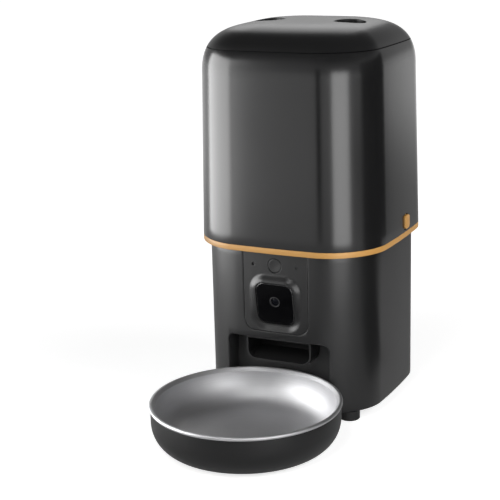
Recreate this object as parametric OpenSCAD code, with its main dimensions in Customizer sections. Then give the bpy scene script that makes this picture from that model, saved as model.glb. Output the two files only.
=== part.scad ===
// Automatic pet feeder with a camera: a square-round food tank on a base housing
// that meters dry food into a round steel bowl in front of it.
// Millimetres, +Z up, front towards -Y, origin on the floor at the centre of the footprint.

/* [Tower] */
// Width and depth of the food tank at its foot
tank_w = 163; // [158:0.5:168]
// Width and depth of the base housing
base_w = 152; // [146:0.5:154]
// Height of the lower edge of the base housing above the floor
base_foot = 8; // [7:0.5:9]
// Height of the upper edge of the base housing
base_top = 140.4; // [138:0.2:144]
// Wall thickness of the base housing and the tank
wall = 2.4; // [2:0.1:3]
// Corner radius of the base housing in plan
corner_r = 38.5; // [35:0.5:42]
// Swell of each side of the base housing in plan
side_swell = 3.75; // [2.25:0.25:5]

/* [Tank and lid] */
// Height of the coloured ring between base and tank
ring_h = 4.6; // [3.6:0.2:6]
// Width of the tank where its shoulder begins to curve in
shoulder_w = 157.4; // [154:0.2:158]
// Height of the parting line between tank and lid
lid_line = 300; // [290:0.2:310]
// Height of the lid above its parting line
lid_rise = 18.4; // [17:0.2:20]
// Height of the curved shoulder below the parting line
shoulder_h = 22.6; // [20:0.2:26]
// Wall thickness of the lid
lid_wall = 2.4; // [2:0.1:3]
// Diameter of each finger well in the lid
finger_d = 26; // [22:0.5:28]
// Distance between the finger wells
finger_pitch = 72; // [70:1:80]
// Depth of the finger wells below the top of the lid
finger_depth = 19.4; // [18.6:0.2:20]
// Width of each tank release button
release_w = 10.4; // [9:0.2:12]
// Height of each tank release button
release_h = 11.4; // [10:0.2:13]
// Distance of the release buttons behind the tower axis
release_back = 8; // [0:1:14]
// Height of the funnel above the foot of the tank
funnel_h = 40; // [34:1:46]

/* [Front panel] */
// Width of the inset front panel
panel_w = 56.6; // [54:0.2:60]
// Height of the lower edge of the front panel
panel_foot = 73.4; // [72:0.2:74]
// Lower corner radius of the front panel
panel_r = 9; // [7:0.5:11]
// Width of the camera window
window_w = 33; // [30:0.5:35]
// Height of the camera window
window_h = 35.4; // [32:0.2:36]
// Distance of the window's middle below the top of the base housing
window_drop = 42.8; // [42:0.2:43]
// Downward tilt of the camera window
window_tilt = 8; // [5:0.5:9]
// Thickness of the camera window
window_t = 2; // [1.5:0.1:2.2]
// Diameter of the camera lens barrel
lens_d = 9; // [8:0.2:10]
// Diameter of the feed button
button_d = 11.6; // [10:0.2:12.4]
// Distance of the feed button's middle below the top of the base housing
button_drop = 11; // [10.6:0.2:11.4]
// Press travel of the feed button
button_travel = 0.8; // [0.6:0.1:1]

/* [Food path] */
// Distance of the rotor axis behind the tower axis
rotor_back = 10; // [9:0.5:11]
// Inner diameter of the rotor cup
cup_d = 102; // [98:1:104]
// Depth of the rotor cup below the deck
cup_depth = 25.5; // [24:0.5:27]
// Number of rotor vanes
vane_count = 6; // [5:1:8]
// Height of the rotor vanes
vane_h = 17; // [15:0.5:18]
// Thickness of the rotor vanes
vane_t = 3; // [2:0.2:4]
// Diameter of the drive shaft
shaft_d = 6; // [5:0.5:7]
// Width of the bowl alcove
alcove_w = 90.6; // [88:0.2:92]
// Height of the top of the bowl alcove
alcove_top = 66.5; // [65:0.5:68]
// Distance of the alcove's back wall in front of the tower axis
alcove_back = 55; // [54:0.5:56]
// Outer width of the chute
chute_w = 58; // [54:0.5:60]
// Height of the underside of the chute's lip
chute_foot = 45.6; // [44:0.2:47]
// Wall thickness of the chute
chute_t = 1.6; // [1.2:0.1:2]

/* [Drive] */
// Gear module
gear_module = 1; // [0.9:0.05:1.05]
// Teeth of each small gear
small_teeth = 12; // [11:1:13]
// Teeth of each large gear
large_teeth = 36; // [33:1:37]
// Face width of the gears
gear_face = 5; // [4:0.5:6]
// Diameter of the motor can
motor_d = 24; // [20:0.5:26]
// Length of the motor can
motor_l = 32; // [28:0.5:34]

/* [Bowl] */
// Outer diameter of the bowl's rolled rim
bowl_d = 152.2; // [146:0.2:154]
// Height of the flat seat on top of the bowl holder
bowl_seat = 33.5; // [32:0.5:35]
// Distance of the bowl's centre in front of the tower axis
bowl_front = 134; // [133:0.5:137]
// Radius of the bowl's rolled rim
bead_r = 1.6; // [1.4:0.1:2]
// Sheet thickness of the steel bowl
sheet = 0.9; // [0.7:0.1:1.2]
// Height of the underside of the steel bowl's floor
bowl_floor = 7; // [5:0.5:9]
// Thickness of the bowl holder
holder_t = 2.4; // [2:0.1:3]
// Width of the tongue that slides under the base
tongue_w = 32; // [28:1:36]

/* [Feet and sockets] */
// Diameter of each rubber foot
foot_d = 17; // [15:0.5:18]
// Distance of each foot from the tower's middle planes
foot_pitch = 56; // [51:0.5:57]
// Bore diameter of the power socket
socket_d = 6.2; // [5.6:0.2:6.6]
// Diameter of the power socket's centre pin
socket_pin_d = 2.1; // [1.7:0.1:2.5]
// Diameter of the speaker
speaker_d = 40; // [36:1:44]

/* [Clearances] */
// Gap between two mouldings that slide or lift apart
slip_gap = 0.3; // [0.25:0.05:0.4]
// Shadow gap around set-in panels
shadow_gap = 0.25; // [0.2:0.05:0.4]
// Radial clearance of a shaft in its bush
run_gap = 0.05; // [0.03:0.01:0.08]
// Radial clearance of a part pushed onto a shaft or pin
push_gap = 0.02; // [0.01:0.01:0.04]
// Gap around each release button
release_gap = 0.5; // [0.4:0.1:0.7]
// Gap around pieces that stand loosely in a collar or between rails
easy_gap = 0.4; // [0.3:0.05:0.5]

/* [Hidden] */
$fn = 64;
// how far a cutter runs past the face that it opens
over = 1;
// where the tower's axis and the bowl's axis lie, from the centre of the footprint
tower_y = (bowl_front + bowl_d / 2 - tank_w / 2) / 2;
bowl_y = tower_y - bowl_front;

// plan shape of the tower with a half width of one: a rounded square with swelled sides
corner_steps = 10;
side_steps = 6;
base_half = base_w / 2;
plan_corner = corner_r / base_half;
plan_swell = side_swell / base_half;
plan_inner = 1 - plan_swell;
plan_core = plan_inner - plan_corner;
corner_sign = [[1, 1], [-1, 1], [-1, -1], [1, -1]];
function arc_point(k, turn) = plan_core * corner_sign[k % 4] + plan_corner * [cos(turn), sin(turn)];
function plan_quarter(k) = concat(
    [for (j = [0:corner_steps]) arc_point(k, 90 * (k + j / corner_steps))],
    [for (j = [1:side_steps - 1])
        arc_point(k, 90 * (k + 1)) * (1 - j / side_steps)
        + arc_point(k + 1, 90 * (k + 1)) * j / side_steps]);
function swelled(p) = [
    p[0] * (1 + plan_swell / plan_inner * (1 - pow(p[1] / plan_inner, 2))),
    p[1] * (1 + plan_swell / plan_inner * (1 - pow(p[0] / plan_inner, 2)))];
plan = [for (k = [0:3]) each [for (p = plan_quarter(k)) swelled(p)]];
function ring(half, z) = [for (p = plan) [half * p[0], half * p[1], z]];

// a skin through rings of points, closed on itself or capped at both ends
module loft(rings, closed = false) {
    n = len(rings[0]);
    m = len(rings);
    last = closed ? m - 1 : m - 2;
    sides = [for (k = [0:last]) each [for (j = [0:n - 1]) each [
        [k * n + j, ((k + 1) % m) * n + (j + 1) % n, k * n + (j + 1) % n],
        [k * n + j, ((k + 1) % m) * n + j, ((k + 1) % m) * n + (j + 1) % n]]]];
    caps = closed ? [] : [[for (j = [0:n - 1]) j], [for (j = [n - 1:-1:0]) (m - 1) * n + j]];
    polyhedron([for (r = rings) each r], concat(sides, caps));
}

// an upright prism with the plan of the tower
module plan_prism(half, low, high) {
    translate([0, 0, low])
        linear_extrude(high - low)
            polygon(half * plan);
}

// an upright tube with the plan of the tower
module plan_tube(outer, inner, low, high) {
    difference() {
        plan_prism(outer, low, high);
        plan_prism(inner, low - over, high + over);
    }
}

// an upright cylinder between two heights
module post(at, r, low, high) {
    translate([at[0], at[1], low])
        cylinder(h = high - low, r = r);
}

// a cylinder lying along Y between two depths
module peg(x, z, r, near, far) {
    translate([x, near, z])
        rotate([-90, 0, 0])
            cylinder(h = far - near, r = r);
}

// a block between two corners
module block(low, high) {
    translate(low)
        cube(high - low);
}

// a rounded rectangle round the origin
round_steps = 6;
function rounded(w, h, r) = [for (k = [0:3]) each [for (j = [0:round_steps])
    let (turn = 90 * (k + j / round_steps))
    [corner_sign[k][0] * (w / 2 - r) + r * cos(turn), corner_sign[k][1] * (h / 2 - r) + r * sin(turn)]]];

// a rounded rectangle standing in the XZ plane, from one depth to another
module upright_slab(w, h, r, near, far) {
    translate([0, far, 0])
        rotate([90, 0, 0])
            linear_extrude(far - near)
                polygon(rounded(w, h, r));
}

// outline of the tank and lid: a slight taper, then a dome that the parting line cuts
ring_foot = base_top + slip_gap;
ring_top = ring_foot + ring_h;
lid_top = lid_line + lid_rise;
dome_foot = lid_line - shoulder_h;
dome_h = lid_top - dome_foot;
dome_flat = 2.6;
dome_round = 4.6;
dome_end = 88;
shoulder_half = shoulder_w / 2;
tank_foot_half = tank_w / 2;
function tank_half(z) = z > dome_foot
    ? shoulder_half * pow(1 - pow((z - dome_foot) / dome_h, dome_flat), 1 / dome_round)
    : tank_foot_half + (shoulder_half - tank_foot_half) * (z - ring_top) / (dome_foot - ring_top);
function dome_ring(half, rise, turn) = ring(
    half * pow(cos(turn), 2 / dome_round),
    dome_foot + rise * pow(sin(turn), 2 / dome_flat));
function dome_turn(z, rise) = asin(pow((z - dome_foot) / rise, dome_flat / 2));
function dome_rings(half, rise, low, steps) = let (start = dome_turn(low, rise))
    [for (j = [0:steps]) dome_ring(half, rise, start + (dome_end - start) * j / steps)];
function back_to_front(list) = [for (j = [len(list) - 1:-1:0]) list[j]];

// lid with two finger wells
lid_steps = 10;
parting_gap = 0.7;
lid_edge_half = tank_half(lid_line) - wall / 2;
well_wall = 1.6;
well_floor = lid_top - finger_depth;
liner_top = well_floor - well_wall;
core_drop = 6;
lid_inner_rings = dome_rings(shoulder_half - lid_wall, dome_h - lid_wall, lid_line, lid_steps);
lid_outer_rings = dome_rings(shoulder_half, dome_h, lid_line + parting_gap, lid_steps);
lid_core_rings = dome_rings(
    shoulder_half - lid_wall / 2, dome_h - lid_wall / 2, lid_line - core_drop, lid_steps);
lid_rings = concat(
    back_to_front(lid_inner_rings),
    [ring(lid_edge_half, lid_line), ring(lid_edge_half, lid_line + parting_gap)],
    lid_outer_rings);
module lid() {
    color("DimGray") difference() {
        union() {
            loft(lid_rings);
            intersection() {
                for (side = [-1, 1])
                    post([side * finger_pitch / 2, 0], finger_d / 2 + well_wall, liner_top, lid_top);
                loft(lid_core_rings);
            }
        }
        for (side = [-1, 1])
            post([side * finger_pitch / 2, 0], finger_d / 2, well_floor, lid_top + over);
    }
}

// liner and seal that plug the mouth of the tank
liner_t = 3;
seal_w = 1.5;
seal_inset = 0.3;
mouth_half = tank_half(lid_line) - wall;
seal_half = mouth_half - slip_gap;
liner_half = seal_half - seal_w;
module lid_liner() {
    color("Gray") plan_prism(liner_half, liner_top - liner_t, liner_top);
}
module lid_seal() {
    color("Silver")
        plan_tube(seal_half, liner_half + push_gap, liner_top - liner_t + seal_inset, liner_top - seal_inset);
}

// tank shell with a ledge inside for the funnel and a slot on each side for a release button
tank_steps = 5;
ledge_w = 1;
funnel_rim = 2;
ledge_z = ring_top + funnel_h - funnel_rim;
ledge_half = tank_half(ledge_z) - wall;
tank_foot_inner = tank_foot_half - wall - ledge_w;
tank_levels = concat(
    [for (j = [0:tank_steps]) ring_top + (dome_foot - ring_top) * j / tank_steps],
    [for (j = [1:tank_steps]) dome_foot + shoulder_h * j / tank_steps]);
tank_rings = concat(
    [for (z = tank_levels) ring(tank_half(z), z)],
    [for (z = back_to_front(tank_levels)) if (z > ledge_z) ring(tank_half(z) - wall, z)],
    [ring(ledge_half, ledge_z), ring(ledge_half - ledge_w, ledge_z), ring(tank_foot_inner, ring_top)]);
release_rise = 8.4;
release_z = ring_top + release_rise;
release_r = 3;
release_lip = 1.3;
release_slot_w = release_w + 2 * release_gap;
release_slot_h = release_h + 4 * release_gap;
release_flange_w = release_slot_w + 2 * release_lip;
release_flange_h = release_slot_h + 2 * release_lip;
// the flange's upper rear corner is where the tapered, swelled wall comes closest
function side_at(half, y) = half * (1 - plan_swell * pow(y / half / plan_inner, 2));
release_skirt = tank_half(release_z + release_flange_h / 2) - wall - ledge_w;
release_seat = side_at(release_skirt, release_back + release_flange_w / 2) - slip_gap;
module release_slab(w, h, r, near, far) {
    translate([near, release_back, release_z])
        rotate([90, 0, 90])
            linear_extrude(far - near)
                polygon(rounded(w, h, r));
}
module tank_shell() {
    color("DimGray") difference() {
        loft(tank_rings, closed = true);
        for (side = [0, 1])
            mirror([side, 0, 0])
                release_slab(release_slot_w, release_slot_h, release_r + release_gap,
                    release_seat - over, tank_foot_half + over);
    }
}
module accent_ring() {
    color("SandyBrown") plan_tube(tank_foot_half, tank_foot_inner, ring_foot, ring_top);
}

// release buttons, each with a flange behind the tank's wall
release_proud = 1.6;
release_flange_t = 1.4;
release_flange_r = 2;
module release_button() {
    front = tank_half(release_z) + release_proud;
    release_slab(release_w, release_h, release_r, release_seat - release_flange_t / 2, front);
    release_slab(release_flange_w, release_flange_h, release_flange_r,
        release_seat - release_flange_t, release_seat);
}
module release_right() {
    color("SandyBrown") union() release_button();
}
module release_left() {
    color("SandyBrown") mirror([1, 0, 0]) release_button();
}

// deck and rotor cup levels
base_inner = base_half - wall;
deck_half = base_inner - slip_gap;
deck_sink = 0.9;
deck_t = 3;
deck_top = base_top - deck_sink;
deck_foot = deck_top - deck_t;
rotor_at = [0, rotor_back];
cup_r = cup_d / 2;
cup_wall = 2;
cup_floor_t = 2.5;
cup_foot = deck_top - cup_depth;
cup_floor = cup_foot + cup_floor_t;
shield_t = 1.8;
shield_seat = 3;
shield_r = cup_r + shield_seat;
shield_edge = 12;
bush_wall = 2;
bush_r = shaft_d / 2 + bush_wall;

// funnel from the round throat to the square-round tank
funnel_steps = 5;
funnel_t = 2.6;
throat_wall = 3;
throat_h = 7;
throat_air = 1;
throat_r = shield_r + throat_air;
throat_outer = throat_r + throat_wall;
throat_top = deck_top + throat_h;
funnel_top = ledge_z + funnel_rim;
funnel_half = ledge_half - slip_gap / 2;
function round_ring(r, z) = [for (p = plan) let (s = r / norm(p)) [p[0] * s, p[1] * s + rotor_back, z]];
function funnel_ring(j, drop) = let (
    share = j / funnel_steps,
    z = throat_top + (funnel_top - throat_top) * share - drop,
    low = round_ring(throat_r, z),
    high = ring(funnel_half, z))
    [for (i = [0:len(plan) - 1]) low[i] * (1 - share) + high[i] * share];
funnel_rings = concat(
    [round_ring(throat_outer, deck_top), round_ring(throat_outer, throat_top - throat_wall / 3)],
    [for (j = [1:funnel_steps - 1]) funnel_ring(j, funnel_t)],
    [ring(funnel_half - ledge_w, ledge_z), ring(funnel_half, ledge_z)],
    [for (j = [funnel_steps:-1:0]) funnel_ring(j, 0)],
    [round_ring(throat_r, deck_top)]);
module hopper_funnel() {
    color("Gray") loft(funnel_rings, closed = true);
}

// deck with the rotor cup, and the shield over the cup's outlet
outlet_w = 44;
outlet_near = 16;
outlet_rim = 7;
outlet_far = cup_r - outlet_rim;
collar_wall = 2;
collar_h = 3.5;
collar_r = throat_outer + easy_gap;
relief_w = 26;
relief_depth = 12;
deck_skin = 1;
module front_of_edge(shift, low, high) {
    edge = rotor_back - shield_edge - shift;
    block([-base_w, -base_w, low], [base_w, edge, high]);
}
module dispenser_deck() {
    color("Gray") difference() {
        union() {
            plan_prism(deck_half, deck_foot, deck_top);
            post(rotor_at, cup_r + cup_wall, cup_foot, deck_top - deck_t / 2);
            difference() {
                post(rotor_at, collar_r + collar_wall, deck_top - deck_t / 2, deck_top + collar_h);
                post(rotor_at, collar_r, deck_foot, deck_top + collar_h + over);
            }
        }
        post(rotor_at, cup_r, cup_floor, deck_top + over);
        intersection() {
            post(rotor_at, shield_r + slip_gap, deck_top - shield_t, deck_top + over);
            front_of_edge(0, deck_foot, deck_top + 2 * over);
        }
        post(rotor_at, bush_r, cup_foot - over, cup_floor + over);
        block([-outlet_w / 2, rotor_back - outlet_far, cup_foot - over],
            [outlet_w / 2, rotor_back - outlet_near, cup_floor + over]);
        block([-relief_w / 2, -base_half, deck_foot - over],
            [relief_w / 2, relief_depth - base_half, deck_top - deck_skin]);
    }
}
module outlet_shield() {
    color("DarkGray") intersection() {
        post(rotor_at, shield_r, deck_top - shield_t, deck_top);
        front_of_edge(slip_gap, deck_foot, deck_top + over);
    }
}

// chute from the cup's outlet down to the alcove
chute_r = 8.5;
chute_sink = 4;
chute_lip = base_half - chute_sink;
chute_roof = alcove_top - slip_gap;
chute_in_air = 1.5;
chute_in = outlet_near - rotor_back - chute_in_air;
chute_out_air = 2;
chute_out = outlet_far - rotor_back + chute_out_air;
chute_bend_back = 5;
chute_bend = alcove_back - chute_bend_back;
chute_bend_rise = 6.4;
chute_bend_z = chute_foot + chute_bend_rise;
chute_brow = alcove_back + 1.6 * chute_t;
chute_shoulder = 3;
module chute_front(grow, near, far) {
    h = cup_foot + cup_depth;
    translate([0, 0, chute_foot - grow + h / 2])
        upright_slab(chute_w + 2 * grow, h, chute_r + grow, near, far);
}
chute_inner = [
    [-chute_in, cup_foot + over],
    [-chute_bend, chute_bend_z],
    [-chute_lip - 4 * over, chute_foot + chute_t / 2],
    [-chute_lip - 4 * over, chute_roof - chute_t],
    [-alcove_back - chute_t, chute_roof - chute_t],
    [-chute_out, cup_foot - over],
    [-chute_out, cup_foot + over]];
chute_outer = [
    [-chute_in + 1.4 * chute_t, cup_foot],
    [-chute_in + 1.4 * chute_t, cup_foot - chute_shoulder],
    [-chute_bend + 0.75 * chute_t, chute_bend_z - 1.25 * chute_t],
    [-chute_lip, chute_foot - over],
    [-chute_lip, chute_roof],
    [-chute_brow, chute_roof],
    [-chute_out - 1.1 * chute_t, cup_foot - over],
    [-chute_out - 1.1 * chute_t, cup_foot]];
module chute_prism(shape, w) {
    translate([-w / 2, 0, 0])
        rotate([90, 0, 90])
            linear_extrude(w)
                polygon(shape);
}
module chute() {
    color("Gray") difference() {
        intersection() {
            chute_prism(chute_outer, chute_w);
            chute_front(0, -base_half - over, base_half);
        }
        intersection() {
            chute_prism(chute_inner, chute_w - 2 * chute_t);
            chute_front(-chute_t, -base_half - 9 * over, base_half + over);
        }
    }
}

// base housing with the bowl alcove, the deck's ledge, screw bosses and the speaker's collar
plate_t = 2.5;
deck_ledge_w = 2;
deck_ledge_h = 3.5;
deck_ledge_foot = deck_foot - deck_ledge_h;
alcove_wall = 2;
alcove_r = 6;
boss_r = 5.4;
boss_h = 14;
boss_side = 30;
boss_inset = 4.5;
boss_foot = base_foot + plate_t;
boss_spots = [for (x = [-1, 1], y = [-1, 1]) [x * (base_inner - boss_inset), y * boss_side]];
screw_r = 1.5;
screw_head_r = 3;
screw_head_h = 1.6;
speaker_z = 62;
speaker_wall = 1.6;
speaker_room = speaker_d / 2 + easy_gap;
speaker_collar = 11;
grille_pitch = 5;
grille_r = 1.1;
grille_rings = 2;
socket_x = 36;
socket_z = 24;
socket_rim = 2.4;
socket_collar_r = socket_d / 2 + socket_rim;
panel_reach = 14;
module alcove_shape(grow, near, far) {
    h = 2 * alcove_top;
    translate([0, 0, alcove_top + grow - h / 2])
        upright_slab(alcove_w + 2 * grow, h, alcove_r + grow / 2, near, far);
}
module panel_shape(grow, near, far) {
    h = base_top - panel_foot + 2 * panel_r + grow;
    translate([0, 0, panel_foot - grow + h / 2])
        upright_slab(panel_w + 2 * grow, h, panel_r + grow, near, far);
}
module grille_holes() {
    for (k = [0:grille_rings])
        for (j = [0:max(0, 6 * k - 1)])
            let (turn = 60 * j / max(1, k), reach = grille_pitch * k)
            peg(reach * cos(turn), speaker_z + reach * sin(turn), grille_r,
                base_inner - wall, base_half + over);
}
module speaker_collar() {
    intersection() {
        difference() {
            peg(0, speaker_z, speaker_room + speaker_wall, base_inner - speaker_collar, base_half);
            peg(0, speaker_z, speaker_room, base_inner - speaker_collar - over, base_half + over);
        }
        plan_prism(base_half - wall / 3, base_foot, base_top);
    }
}
module base_shell() {
    front = -base_half - 8 * over;
    notch_half = chute_w / 2 + slip_gap;
    color("DimGray") difference() {
        union() {
            plan_tube(base_half, base_inner, base_foot, base_top);
            plan_tube(base_inner + wall / 4, base_inner - deck_ledge_w, deck_ledge_foot, deck_foot);
            intersection() {
                plan_prism(base_half, base_foot, base_top);
                alcove_shape(alcove_wall, front, -alcove_back + alcove_wall);
            }
            for (at = boss_spots)
                post(at, boss_r, boss_foot, boss_foot + boss_h);
            speaker_collar();
        }
        alcove_shape(0, front, -alcove_back);
        intersection() {
            chute_front(slip_gap, front, -alcove_back + alcove_wall + over);
            block([-base_half, front, 0], [base_half, 0, chute_roof + slip_gap / 2]);
        }
        block([-notch_half, -chute_brow - slip_gap, chute_roof],
            [notch_half, -alcove_back + alcove_wall + over, alcove_top + alcove_wall + over]);
        panel_shape(shadow_gap, front, -base_half + panel_reach);
        for (at = boss_spots)
            post(at, screw_r + push_gap, base_foot - over, boss_foot + boss_h - over);
        peg(socket_x, socket_z, socket_collar_r + slip_gap, base_inner - speaker_collar, base_half + over);
        grille_holes();
    }
}

// the frame of the tilted camera window, +Y into the housing
window_z = base_top - window_drop;
window_proud = 0.2;
module at_window() {
    translate([0, -base_half - window_proud, window_z])
        rotate([window_tilt, 0, 0])
            children();
}

// front panel: a flat bezel swells out of it above the window and dishes into it below
bezel_face = -0.7;
bezel_edge = 2.3;
bezel_r = 10;
bezel_w = window_w + 2 * bezel_edge;
bezel_h = window_h + 2 * bezel_edge;
swell_edge = 5;
swell_r = bezel_r + swell_edge;
swell_w = bezel_w + 2 * swell_edge;
swell_h = bezel_h + 2 * swell_edge;
swell_depth = 5.2;
film = 0.2;
window_r = 7.5;
window_sink = 0.5;
window_face = bezel_face + window_sink;
lens_rise = 1.8;
lens_face = window_face - film;
camera_depth = 12;
camera_post_r = 2.2;
camera_post_at = 11;
panel_lip = 3;
panel_lip_t = 1.8;
panel_lip_in = 2;
button_z = base_top - button_drop;
button_board_back = 9;
button_board_y = base_half - button_board_back;
button_post_r = 1.8;
button_post_at = 12.5;
side_hole_x = 19.3;
mic_hole_r = 1;
light_r = 1.2;
module bezel_solid(from, to) {
    hull() {
        upright_slab(bezel_w, bezel_h, bezel_r, min(from, from + film * sign(to - from)),
            max(from, from + film * sign(to - from)), $fn = 32);
        upright_slab(swell_w, swell_h, swell_r, min(to, to - film * sign(to - from)),
            max(to, to - film * sign(to - from)), $fn = 32);
    }
}
module panel_skin() {
    reach = panel_reach - base_half;
    front = -base_half - 8 * over;
    intersection() {
        plan_tube(base_half, base_inner, base_foot, base_top);
        panel_shape(0, front, reach);
    }
    intersection() {
        plan_tube(base_inner, base_inner - panel_lip_t, base_foot, deck_ledge_foot - slip_gap);
        difference() {
            panel_shape(panel_lip, front, reach);
            panel_shape(-panel_lip_in, front - over, reach + over);
        }
    }
}
module panel_holes() {
    near = -base_half - over;
    far = -base_inner + over;
    peg(0, button_z, button_d / 2 + slip_gap, near, far);
    peg(-side_hole_x, button_z, mic_hole_r, near, far);
    peg(side_hole_x, button_z, light_r + run_gap, near, far);
}
module front_panel() {
    block_back = bezel_face + swell_depth;
    color("DimGray") difference() {
        union() {
            panel_skin();
            at_window() bezel_solid(bezel_face, block_back);
            at_window()
                for (x = [-1, 1], z = [-1, 1])
                    peg(x * camera_post_at, z * camera_post_at, camera_post_r,
                        block_back - over, camera_depth);
            for (x = [-1, 1])
                peg(x * button_post_at, button_z, button_post_r, -base_inner - wall / 3, -button_board_y);
        }
        at_window() bezel_solid(bezel_face, bezel_face - swell_depth);
        at_window()
            upright_slab(window_w + 2 * shadow_gap, window_h + 2 * shadow_gap, window_r + shadow_gap,
                bezel_face - 4 * over, window_face + window_t);
        at_window() peg(0, lens_rise, lens_d / 2 + slip_gap, bezel_face - over, block_back + over);
        panel_holes();
    }
}

// camera behind the window
lens_rim = 0.9;
lens_recess = 1.6;
lens_bulge = 8;
lens_r = lens_d / 2 - lens_rim - run_gap;
lens_tip = film;
lens_seat = lens_face + lens_recess;
lens_profile = concat(
    [[0, -lens_seat], [lens_r, -lens_seat]],
    [for (j = [0:round_steps]) let (turn = asin(lens_r / lens_bulge) * (1 - j / round_steps))
        [lens_bulge * sin(turn), lens_bulge * (cos(turn) - 1) + lens_tip]]);
camera_board_w = 28;
board_t = 1.6;
camera_chip = [12, 1.4, 12];
module camera_window() {
    color("Black") at_window() difference() {
        upright_slab(window_w, window_h, window_r, window_face, window_face + window_t);
        peg(0, lens_rise, lens_d / 2 + 2 * run_gap, window_face - over, window_face + window_t + over);
    }
}
module lens_barrel() {
    color("DimGray") at_window() difference() {
        peg(0, lens_rise, lens_d / 2, lens_face, camera_depth);
        peg(0, lens_rise, lens_d / 2 - lens_rim, lens_face - over, lens_seat);
    }
}
module lens_glass() {
    color("MidnightBlue") at_window()
        translate([0, 0, lens_rise])
            rotate([90, 0, 0])
                rotate_extrude()
                    polygon(lens_profile);
}
module camera_board() {
    half = camera_board_w / 2;
    color("DarkGreen") at_window() union() {
        block([-half, camera_depth, -half], [half, camera_depth + board_t, half]);
        translate([-camera_chip[0] / 2, camera_depth + board_t - film, lens_rise - camera_chip[2] / 2])
            cube(camera_chip);
    }
}

// feed button with its switch, microphone and status light on one board
button_sink = 0.2;
button_flange = 1.4;
button_flange_t = 1.3;
button_back = -base_inner + slip_gap + button_flange_t;
switch_tip = button_back + button_travel + slip_gap;
switch_w = 6;
plunger_r = 1.7;
plunger_h = 1.2;
button_board_w = 48;
button_board_h = 10;
mic_r = 3.2;
light_sink = 0.5;
module feed_button() {
    color("DimGray") union() {
        peg(0, button_z, button_d / 2, -base_half + button_sink, button_back - button_flange_t / 2);
        peg(0, button_z, button_d / 2 + button_flange, button_back - button_flange_t, button_back);
    }
}
module button_board() {
    back = -button_board_y;
    color("DarkGreen") union() {
        block([-button_board_w / 2, back, button_z - button_board_h / 2],
            [button_board_w / 2, back + board_t, button_z + button_board_h / 2]);
        block([-switch_w / 2, switch_tip + plunger_h, button_z - switch_w / 2],
            [switch_w / 2, back + board_t / 2, button_z + switch_w / 2]);
        peg(0, button_z, plunger_r, switch_tip, switch_tip + 2 * plunger_h);
    }
}
module status_light() {
    color("White") peg(side_hole_x, button_z, light_r, -base_half + light_sink, -button_board_y);
}
module microphone() {
    color("Silver") peg(-side_hole_x, button_z, mic_r, -base_inner + 2 * slip_gap, -button_board_y);
}

// portion rotor
hub_r = 13;
rotor_lift = 0.6;
rotor_low = cup_floor + rotor_lift;
rotor_high = rotor_low + vane_h;
vane_air = 1;
vane_r = cup_r - vane_air;
cap_r = 9;
cap_h = 6;
stirrer_at = 6;
stirrer_r = 2.5;
stirrer_h = 26;
shaft_reach = 2;
module rotor_hub() {
    color("Orange") difference() {
        union() {
            post(rotor_at, hub_r, rotor_low, rotor_high);
            post(rotor_at, cap_r, rotor_high - over, rotor_high + cap_h);
            post(rotor_at + [stirrer_at, 0], stirrer_r, rotor_high - over, rotor_high + stirrer_h);
        }
        post(rotor_at, shaft_d / 2 + push_gap, rotor_low - over, rotor_high + shaft_reach);
    }
}
module rotor_vanes() {
    color("WhiteSmoke") translate([rotor_at[0], rotor_at[1], 0]) difference() {
        for (k = [0:vane_count - 1])
            rotate([0, 0, 360 * k / vane_count])
                block([hub_r / 2, -vane_t / 2, rotor_low], [vane_r, vane_t / 2, rotor_high]);
        post([0, 0], hub_r, rotor_low - over, rotor_high + over);
    }
}

// gear case below the cup: motor pinion, double idler and drive gear
case_h = 26;
case_wall = 2;
case_floor = 2.5;
case_drop = 21.5;
case_top = cup_foot - case_drop;
case_foot = case_top - case_h;
gear_lift = 5;
gear_step = 7;
low_gear = case_foot + gear_lift;
high_gear = low_gear + gear_face + gear_step;
gear_span = gear_module * (small_teeth + large_teeth) / 2;
idler_turn = 142;
motor_turn = 25;
idler_at = rotor_at + gear_span * [cos(idler_turn), sin(idler_turn)];
motor_at = idler_at + gear_span * [cos(motor_turn), sin(motor_turn)];
gear_air = 2;
gear_room = gear_module * (large_teeth / 2 + 1) + gear_air;
pin_r = 2;
pin_skin = 0.5;
motor_shaft_r = 1.5;
motor_bore = 8.5;
motor_nose_r = 4;
motor_nose_h = 1.5;
motor_tail_r = 5;
motor_tail_h = 2;
gear_hub_wall = 3;
case_post_r = 3.5;
case_post_inset = 2.5;
case_post_x = gear_room - case_post_inset;
right_post_y = 6;
left_post_y = 2;
motor_post = [4, 8];
case_posts = [
    rotor_at + [case_post_x, right_post_y],
    rotor_at + [-case_post_x, left_post_y],
    motor_at + motor_post];
motor_air = 1;

// gear teeth with involute flanks
tooth_slack = 0.12;
press_turn = 20;
tooth_tip = 0.75;
flank_steps = 4;
degree = 180 / PI;
function involute(r, base) = let (turn = acos(min(1, base / r))) tan(turn) * degree - turn;
function gear_outline(teeth) = let (
    pitch = gear_module * teeth / 2,
    base = pitch * cos(press_turn),
    tip = pitch + tooth_tip * gear_module,
    root = pitch - gear_module,
    start = max(base, root),
    half = 90 / teeth - tooth_slack / 2 / pitch * degree + involute(pitch, base),
    flank = [for (j = [0:flank_steps]) start + (tip - start) * j / flank_steps])
    [for (k = [0:teeth - 1]) let (mid = 360 * k / teeth) each concat(
        root < base ? [root * [cos(mid - half), sin(mid - half)]] : [],
        [for (r = flank) let (t = mid - half + involute(r, base)) r * [cos(t), sin(t)]],
        [for (r = back_to_front(flank)) let (t = mid + half - involute(r, base)) r * [cos(t), sin(t)]],
        root < base ? [root * [cos(mid + half), sin(mid + half)]] : [])];
module gear_at(at, teeth, turn, low, high) {
    translate([at[0], at[1], low])
        rotate([0, 0, turn])
            linear_extrude(high - low)
                polygon(gear_outline(teeth));
}
function gap_turn(turn, teeth) = turn + 180 + 180 / teeth;

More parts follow.
